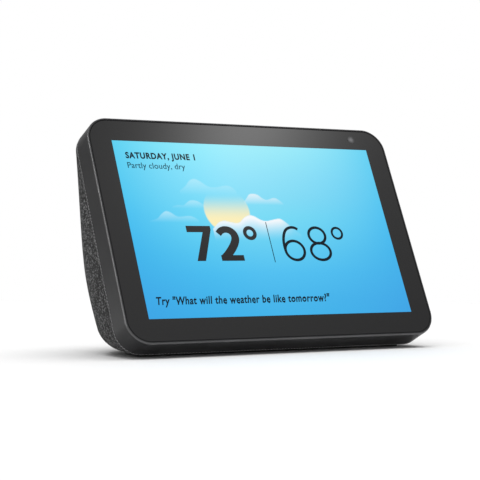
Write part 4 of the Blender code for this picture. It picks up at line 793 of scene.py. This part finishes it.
def screen():
    """The lit picture with its temperatures and three lines of words."""
    screen_picture(veil_light)
    temperatures()
    words("date_line", "SATURDAY, JUNE 1", -79.3, -35.6, 42.8, 3.6, 0.04, INK_NAVY)
    words("sky_line", "Partly cloudy, dry", -79.3, -43.3, 36.6, 3.6, 0.006, INK_SOFT)
    question = 'Try "What will the weather be like tomorrow?"'
    words("hint_line", question, -79.3, 31.8, -45.6, 4.4, 0.026, INK_NAVY, 0.2)


def camera_window():
    """Clear spot in the glass's border: a lens under it, drawn as rings that step down in brightness from the
    middle out: the bright middle is a painted glint and the band round it a painted reflection.
    """
    centre = (CAMERA_X / MM, CAMERA_Y / MM)
    # The lighter band and the brightest middle are a painted reflection and a painted glint.
    shapes = [(2.5, 1.7, LENS_RING), (1.7, 0.9, LENS_REFLECTION_BAND), (0.9, 0.0, LENS_GLINT)]
    for number, (outer, inner, finish) in enumerate(shapes, 1):
        if inner:
            radius = (outer + inner) / 2
            shape = stroke(ring_path(centre, radius, radius, 40), outer - inner, closed=True)
        else:
            disc = ring_path(centre, outer, outer, 40)
            shape = (disc, [tuple(range(len(disc)))])
        flat_marks(f"camera_window_{number}", [shape], finish, 0.1 * MM)


# ---------------------------------------------------------------- knitted rear body


def bezier(a, b, c, d, t):
    """Cubic Bezier at t."""
    return (1 - t) ** 3 * a + 3 * t * (1 - t) ** 2 * b + 3 * t**2 * (1 - t) * c + t**3 * d


def side_profile(rows):
    """The body's middle section as (y, z): two Bezier halves from the slab's top edge round to the base."""
    top = slab(0, HALF_H - BODY_INSET, SEAM_DEPTH)[1:]
    back = np.array([BULGE_Y, 54 * MM])
    base = np.array([27 * MM, BODY_BOTTOM])
    t = np.linspace(0, 1, rows)[:, None]
    upper = bezier(top, top + 14 * MM * np.array([COS_T, -SIN_T]), back + [0, 20 * MM], back, t)
    lower = bezier(back, back - [0, 34 * MM], base + [10 * MM, 0], base, t)
    return np.concatenate([upper, lower[1:]])


def seam_half_width(z):
    """Half width of the slab's round-cornered outline where heights z cross the seam's plane."""
    radius = CORNER - BODY_INSET
    y = (z - FACE[2] + SEAM_DEPTH * SIN_T) / COS_T
    into = np.clip(np.abs(y) - (HALF_H - CORNER), 0, radius)
    return HALF_W - CORNER + np.sqrt(radius**2 - into**2)


def knitted_cover():
    """The speaker cloth: for each height z of the side profile a half superellipse |x/w|^n + |d/D|^n = 1,
    where w is the slab's half width, D the profile's depth behind the seam, and n runs from 2.5 at the
    base to 3 above. UV is the distance round and down the surface in millimetres."""
    profile = side_profile(70)
    columns = 150
    z = profile[:, 1][:, None]
    front = seam_plane_y(z, SEAM_DEPTH)
    depth = np.maximum(profile[:, 0][:, None] - front, 0)
    rise = smooth(z, BODY_BOTTOM, 50 * MM)
    power = 2.5 + 0.5 * rise
    angle = np.linspace(0, math.pi, columns)[None]
    angle = angle - 0.18 * np.sin(4 * angle) / 4 - 0.30 * np.sin(2 * angle) / 2
    across, along = np.cos(angle), np.clip(np.sin(angle), 0, None)
    x = -seam_half_width(z) * np.sign(across) * np.abs(across) ** (2 / power)
    y = front + depth * along ** (2 / power)
    points = np.stack([x, y, np.broadcast_to(z, x.shape)], axis=-1)
    round_step = np.linalg.norm(np.diff(points, axis=1), axis=-1)
    round_way = np.concatenate([np.zeros((len(points), 1)), np.cumsum(round_step, axis=1)], axis=1)
    round_way -= round_way[:, columns // 2][:, None]
    down_step = np.linalg.norm(np.diff(profile, axis=0), axis=-1)
    down_way = np.concatenate([[0], np.cumsum(down_step)])[:, None]
    uv = np.stack([round_way, -np.broadcast_to(down_way, round_way.shape)], axis=-1) / MM
    faces = grid_faces(*points.shape[:2])
    cover = mesh_piece(
        "knitted_cover", points, faces, KNIT, "chassis", ("fabric_cover",), uv=uv, sharp=0
    )
    skin = cover.modifiers.new("cloth", "SOLIDIFY")
    skin.thickness, skin.offset = 0.7 * MM, -1
    opening = port_opening()
    step = cover.modifiers.new("socket_opening", "BOOLEAN")
    step.operation, step.object, step.solver = "DIFFERENCE", opening, "EXACT"
    bake(cover, 60)
    bpy.data.objects.remove(opening)


def port_opening():
    """A prism through the cloth where the socket plate sits, along the plate's own facing."""
    low, high = (np.array(corner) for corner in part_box("port_plate"))
    middle = (low + high) / 2
    lean = port_lean()
    out = np.array([0, math.cos(lean), -math.sin(lean)])
    up = np.array([0, math.sin(lean), math.cos(lean)])
    outline, _ = rounded_loop(23.25 * MM, 6.75 * MM, 6.6 * MM, 14)
    flat = middle + outline[:, :1] * np.array([1, 0, 0]) + outline[:, 1:] * up
    rows = np.stack([flat + 8 * MM * out, flat - 8 * MM * out])
    piece = mesh_piece("socket_cut", rows, walled(rows), BLACK, None, smooth=False)
    outward(piece)
    return piece


def outward(piece):
    """Points a closed piece's faces outwards."""
    form = bmesh.new()
    form.from_mesh(piece.data)
    bmesh.ops.remove_doubles(form, verts=form.verts, dist=1e-7)
    bmesh.ops.recalc_face_normals(form, faces=form.faces)
    form.to_mesh(piece.data)
    form.free()


def port_lean():
    """How far the socket plate leans from upright: the angle at which a plate of its height and thickness
    best fills its box, height * cos + thickness * sin up and height * sin + thickness * cos across."""
    low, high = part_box("port_plate")
    lean = np.linspace(0, 1.2, 481)
    up = PLATE_HEIGHT * np.cos(lean) + PLATE_THICKNESS * np.sin(lean)
    across = PLATE_HEIGHT * np.sin(lean) + PLATE_THICKNESS * np.cos(lean)
    miss = np.abs(up - (high[2] - low[2])) + np.abs(across - (high[1] - low[1]))
    return float(lean[np.argmin(miss)])


def hem_cord():
    """The knit's rolled edge along the seam: a 0.4 mm circle carried round the slab's outline."""
    outline, _ = rounded_loop(HALF_W, HALF_H, CORNER, 40)
    long_way = np.concatenate([outline, outline[:1]])
    pieces = []
    for a, b in zip(long_way[:-1], long_way[1:]):
        count = max(1, int(np.hypot(*(b - a)) / (1.2 * MM)))
        pieces.append(a + (b - a) * np.linspace(0, 1, count, endpoint=False)[:, None])
    path = np.concatenate(pieces)
    tangent = np.roll(path, -1, axis=0) - np.roll(path, 1, axis=0)
    tangent /= np.linalg.norm(tangent, axis=1)[:, None]
    outer = np.stack([tangent[:, 1], -tangent[:, 0]], axis=1)
    radius = 0.42 * MM
    turn = np.linspace(0, 2 * math.pi, 10, endpoint=False)
    ring = [(0.4 * MM - radius * math.cos(a), SEAM_DEPTH + 0.2 * MM + radius * math.sin(a)) for a in turn]
    points, faces = swept(path, outer, ring, close_profile=True)
    way = np.concatenate([[0], np.cumsum(np.linalg.norm(np.diff(path, axis=0), axis=1))])
    uv = np.stack(np.broadcast_arrays(way[None], (turn * radius)[:, None]), axis=-1)
    world = slab(points[..., 0], points[..., 1], points[..., 2])
    mesh_piece("knitted_hem", world, faces, HEM, "chassis", uv=uv / MM, sharp=0)


# ---------------------------------------------------------------- buttons and shutter


def top_cap(name, x, depth, half_length, half_width, corner, proud, below, body, node, crown=0.12 * MM):
    """A pill-shaped cap in the slab's top wall: a rounded profile of (inset, height) swept round its
    outline and drawn in to a slightly crowned top."""
    outline, normals = rounded_loop(half_length, half_width, corner, 14)
    edge = 0.35 * MM
    shoulder = HALF_H + proud - edge
    side = [(0, HALF_H - below), (0, shoulder)]
    turn = np.radians(np.linspace(15, 90, 6))
    bend = [(edge - edge * math.cos(a), shoulder + edge * math.sin(a)) for a in turn]
    points, _ = swept(outline, normals, side + bend)
    rim = points[-1]
    rings = [points]
    for share in (0.75, 0.5, 0.25):
        ring = rim.copy()
        ring[:, :2] *= share
        ring[:, 2] += crown * (1 - share**2)
        rings.append(ring[None])
    points = np.concatenate(rings)
    world = slab(points[..., 0] + x, points[..., 2], points[..., 1] + depth)
    faces = capped(points, grid_faces(*points.shape[:2], False, True))
    outward(mesh_piece(name, world, faces, CAPS, body, (node,)))


def top_print(name, shapes, x, depth, height, body):
    """Flat marks in mm in (x, s), laid on a cap's top at a height up the slab."""
    points, faces, start = [], [], 0
    for flat, quads in shapes:
        points.append(flat)
        faces += [tuple(int(i) + start for i in quad) for quad in quads]
        start += len(flat)
    flat = np.concatenate(points) * MM
    upper = slab(flat[:, 0] + x, height, flat[:, 1] + depth)
    piece = mesh_piece(name, upper, faces, PRINT, body, smooth=False)
    skin = piece.modifiers.new("ink", "SOLIDIFY")
    skin.thickness, skin.offset = 0.04 * MM, 0


def controls():
    """The three buttons with their marks, and the shutter's slider with its grip ribs."""
    arm, half = 1.3, 0.16
    bar = polygon((-arm, -half), (arm, -half), (arm, half), (-arm, half))
    marks = {
        "volume_up": [
            bar,
            polygon((-half, half), (half, half), (half, arm), (-half, arm)),
            polygon((-half, -arm), (half, -arm), (half, -half), (-half, -half)),
        ],
        "volume_down": [bar],
        "mic_camera_off": [
            stroke(ring_path((0, 0), 1.2, 1.2, 32), 0.28, closed=True),
            stroke(np.array([(-0.85, -0.85), (0.85, 0.85)]), 0.28),
        ],
    }
    for name, shapes in marks.items():
        node = name + "_button"
        x = button_middle(node)
        top_cap(name + "_cap", x, BUTTON_DEPTH, 5.5 * MM, 2.3 * MM, 2.19 * MM, 0.6 * MM, 3.4 * MM, name, node)
        top_print(name + "_mark", shapes, x, BUTTON_DEPTH, HALF_H + 0.73 * MM, name)
    x = button_middle("shutter_slider")
    sizes = (6 * MM, 2 * MM, 1.8 * MM, 0.4 * MM, 0.55 * MM)
    top_cap("shutter_grip", x, SHUTTER_DEPTH, *sizes, "camera_shutter", "shutter_slider", 0)
    rib, _ = rounded_loop(0.22 * MM, 1.3 * MM, 0.2 * MM, 5)
    for number in range(1, 6):
        place = x + (number - 3) * 1.2 * MM
        rows = np.stack(
            [slab(rib[:, 0] + place, HALF_H + rise * MM, rib[:, 1] + SHUTTER_DEPTH) for rise in (0.3, 0.5)]
        )
        name = f"grip_rib_{number}"
        outward(mesh_piece(name, rows, walled(rows), CAPS, "camera_shutter"))


# ---------------------------------------------------------------- stage, light and camera


# Strengths of the cards, then how bright the backdrop looks, is mirrored and lights the object.
GLOW, WASH, RIM, BOUNCE = 2.9, 0.44, 11.0, 0.2
BACKDROP, MIRRORED, AMBIENT = 1.0, 0.4, 0.42
SUN = 3.3
SQUARE = np.array([(-1, -1), (1, -1), (1, 1), (-1, 1)])


def floor():
    """A pale disc that the display stands on."""
    radius = 0.62
    angle = np.linspace(0, 2 * math.pi, 96, endpoint=False)
    points = np.stack([radius * np.cos(angle), 0.1 + radius * np.sin(angle), np.zeros(96)], axis=1)
    made = new_material("pale_floor", (0.77, 0.77, 0.77), 0.7)[0]
    piece = mesh_piece("floor", points, [tuple(range(96))], made, None, smooth=False)


def reflected(point, eye):
    """Direction in which the screen's plane mirrors a ray from the eye to a point."""
    ray = np.asarray(point) - np.asarray(eye)
    ray /= np.linalg.norm(ray)
    normal = np.array([0, -COS_T, SIN_T])
    return ray - 2 * (ray @ normal) * normal


def clear_light(nodes, links, strength):
    """Makes a card add its light to whatever is seen through it."""
    emit = add(nodes, "ShaderNodeEmission")
    links.new(strength, emit.inputs["Strength"])
    clear = add(nodes, "ShaderNodeBsdfTransparent")
    total = add(nodes, "ShaderNodeAddShader")
    links.new(emit.outputs[0], total.inputs[0])
    links.new(clear.outputs[0], total.inputs[1])
    output = next(n for n in nodes if n.type == "OUTPUT_MATERIAL")
    links.new(total.outputs[0], output.inputs["Surface"])


def facing_square(middle, out, half_wide, half_tall):
    """Corners of an upright rectangle that faces along out."""
    side = np.cross(out, [0, 0, 1])
    side /= np.linalg.norm(side)
    return middle + half_wide * SQUARE[:, :1] * side + half_tall * SQUARE[:, 1:] * np.cross(side, out)


def card(name, points, made, uv=None, mirrored=True):
    """A card of light out of the camera's sight: seen only in reflections, or only by what it lights."""
    piece = mesh_piece(name, points, [(0, 1, 2, 3)], made, None, uv=uv, smooth=False)
    piece.visible_camera = False
    piece.visible_shadow = False
    piece.visible_diffuse = not mirrored
    piece.visible_glossy = mirrored


def glow_card(eye):
    """A card whose light fades from its middle, mirrored at the top middle of the glass: the sum of two
    bells strength * exp(-(u / wide)^2 - (v / tall)^2), in metres."""
    spot = slab(4 * MM, 66 * MM, 0)
    out = reflected(spot, eye)
    half = 0.9
    made, nodes, links, shader = new_material("glow_card", (0, 0, 0), 1.0)
    where = add(nodes, "ShaderNodeUVMap", uv_map="surface_mm")
    split = add(nodes, "ShaderNodeSeparateXYZ")
    links.new(where.outputs[0], split.inputs[0])
    light = None
    for strength, wide, tall in ((GLOW, 0.100, 0.085), (WASH, 0.5, 0.3)):
        across = math_node(nodes, links, "DIVIDE", split.outputs[0], wide)
        along = math_node(nodes, links, "DIVIDE", split.outputs[1], tall)
        across = math_node(nodes, links, "MULTIPLY", across, across)
        along = math_node(nodes, links, "MULTIPLY", along, along)
        total = math_node(nodes, links, "MULTIPLY", math_node(nodes, links, "ADD", across, along), -1.0)
        bell = math_node(nodes, links, "MULTIPLY", math_node(nodes, links, "EXPONENT", total), strength)
        light = bell if light is None else math_node(nodes, links, "ADD", light, bell)
    clear_light(nodes, links, light)
    card("glow_card", facing_square(spot + out, out, half, half), made, uv=half * SQUARE)


def rim_card():
    """A tall soft light to the left, mirrored in the frame's rounded edge."""
    out = np.array([-0.78, -0.30, 0.55])
    out /= np.linalg.norm(out)
    made, nodes, links, shader = new_material("rim_card", (0, 0, 0), 1.0)
    shader.inputs["Emission Color"].default_value = (1, 1, 1, 1)
    shader.inputs["Emission Strength"].default_value = RIM
    card("rim_card", facing_square(FACE + 1.1 * out, out, 0.16, 0.45), made)


def bounce_card():
    """Extra light from the floor under the overhanging front, upwards only, for the frame's bottom wall."""
    middle = [0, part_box("front_frame")[0][1] + 13 * MM]
    flat = middle + SQUARE * [100 * MM, 21 * MM]
    made, nodes, links, shader = new_material("bounce_card", (0, 0, 0), 1.0)
    side = add(nodes, "ShaderNodeNewGeometry")
    upper = math_node(nodes, links, "SUBTRACT", 1.0, side.outputs["Backfacing"])
    clear_light(nodes, links, math_node(nodes, links, "MULTIPLY", upper, BOUNCE))
    card("bounce_card", np.column_stack([flat, np.full(4, 0.5 * MM)]), made, mirrored=False)


def studio(eye):
    """A white backdrop that lights and reflects less than it shows, a soft overhead light and the cards."""
    world = bpy.data.worlds.new("studio")
    bpy.context.scene.world = world
    world.use_nodes = True
    nodes, links = world.node_tree.nodes, world.node_tree.links
    ambient = nodes["Background"]
    ambient.inputs["Color"].default_value = (1.0, 1.0, 1.0, 1.0)
    path = add(nodes, "ShaderNodeLightPath")
    backdrop = math_node(nodes, links, "MULTIPLY", path.outputs["Is Camera Ray"], BACKDROP - AMBIENT)
    mirrored = math_node(nodes, links, "MULTIPLY", path.outputs["Is Glossy Ray"], MIRRORED - AMBIENT)
    level = math_node(nodes, links, "ADD", math_node(nodes, links, "ADD", backdrop, mirrored), AMBIENT)
    links.new(level, ambient.inputs["Strength"])
    sun = bpy.data.lights.new("ceiling_light", "SUN")
    sun.energy = SUN
    sun.angle = math.radians(70)
    lamp = bpy.data.objects.new("ceiling_light", sun)
    lamp.rotation_euler = (math.radians(-14), math.radians(8), 0)
    lamp.visible_glossy = False
    bpy.context.scene.collection.objects.link(lamp)
    glow_card(eye)
    rim_card()
    bounce_card()


def camera():
    """The camera looks along the horizon from the front left, at the height of the screen's middle."""
    azimuth, elevation = math.radians(-30.4), math.radians(-0.18)
    flat = math.cos(elevation)
    back = Vector((math.sin(azimuth) * flat, -math.cos(azimuth) * flat, math.sin(elevation)))
    eye = FACE + np.array([-438.4, -718.3, -9.3]) * MM
    data = bpy.data.cameras.new("camera")
    data.sensor_width = 36.0
    data.lens = 110.87
    data.clip_start = 0.01
    made = bpy.data.objects.new("camera", data)
    made.rotation_mode = "QUATERNION"
    made.location = eye
    made.rotation_quaternion = (-back).to_track_quat("-Z", "Y")
    bpy.context.scene.collection.objects.link(made)
    bpy.context.scene.camera = made
    return eye


# ---------------------------------------------------------------- making

eye = camera()
front_frame()
cover_glass()
screen()
camera_window()
knitted_cover()
hem_cord()
controls()
floor()
studio(eye)
bpy.context.scene.view_settings.view_transform = "Standard"
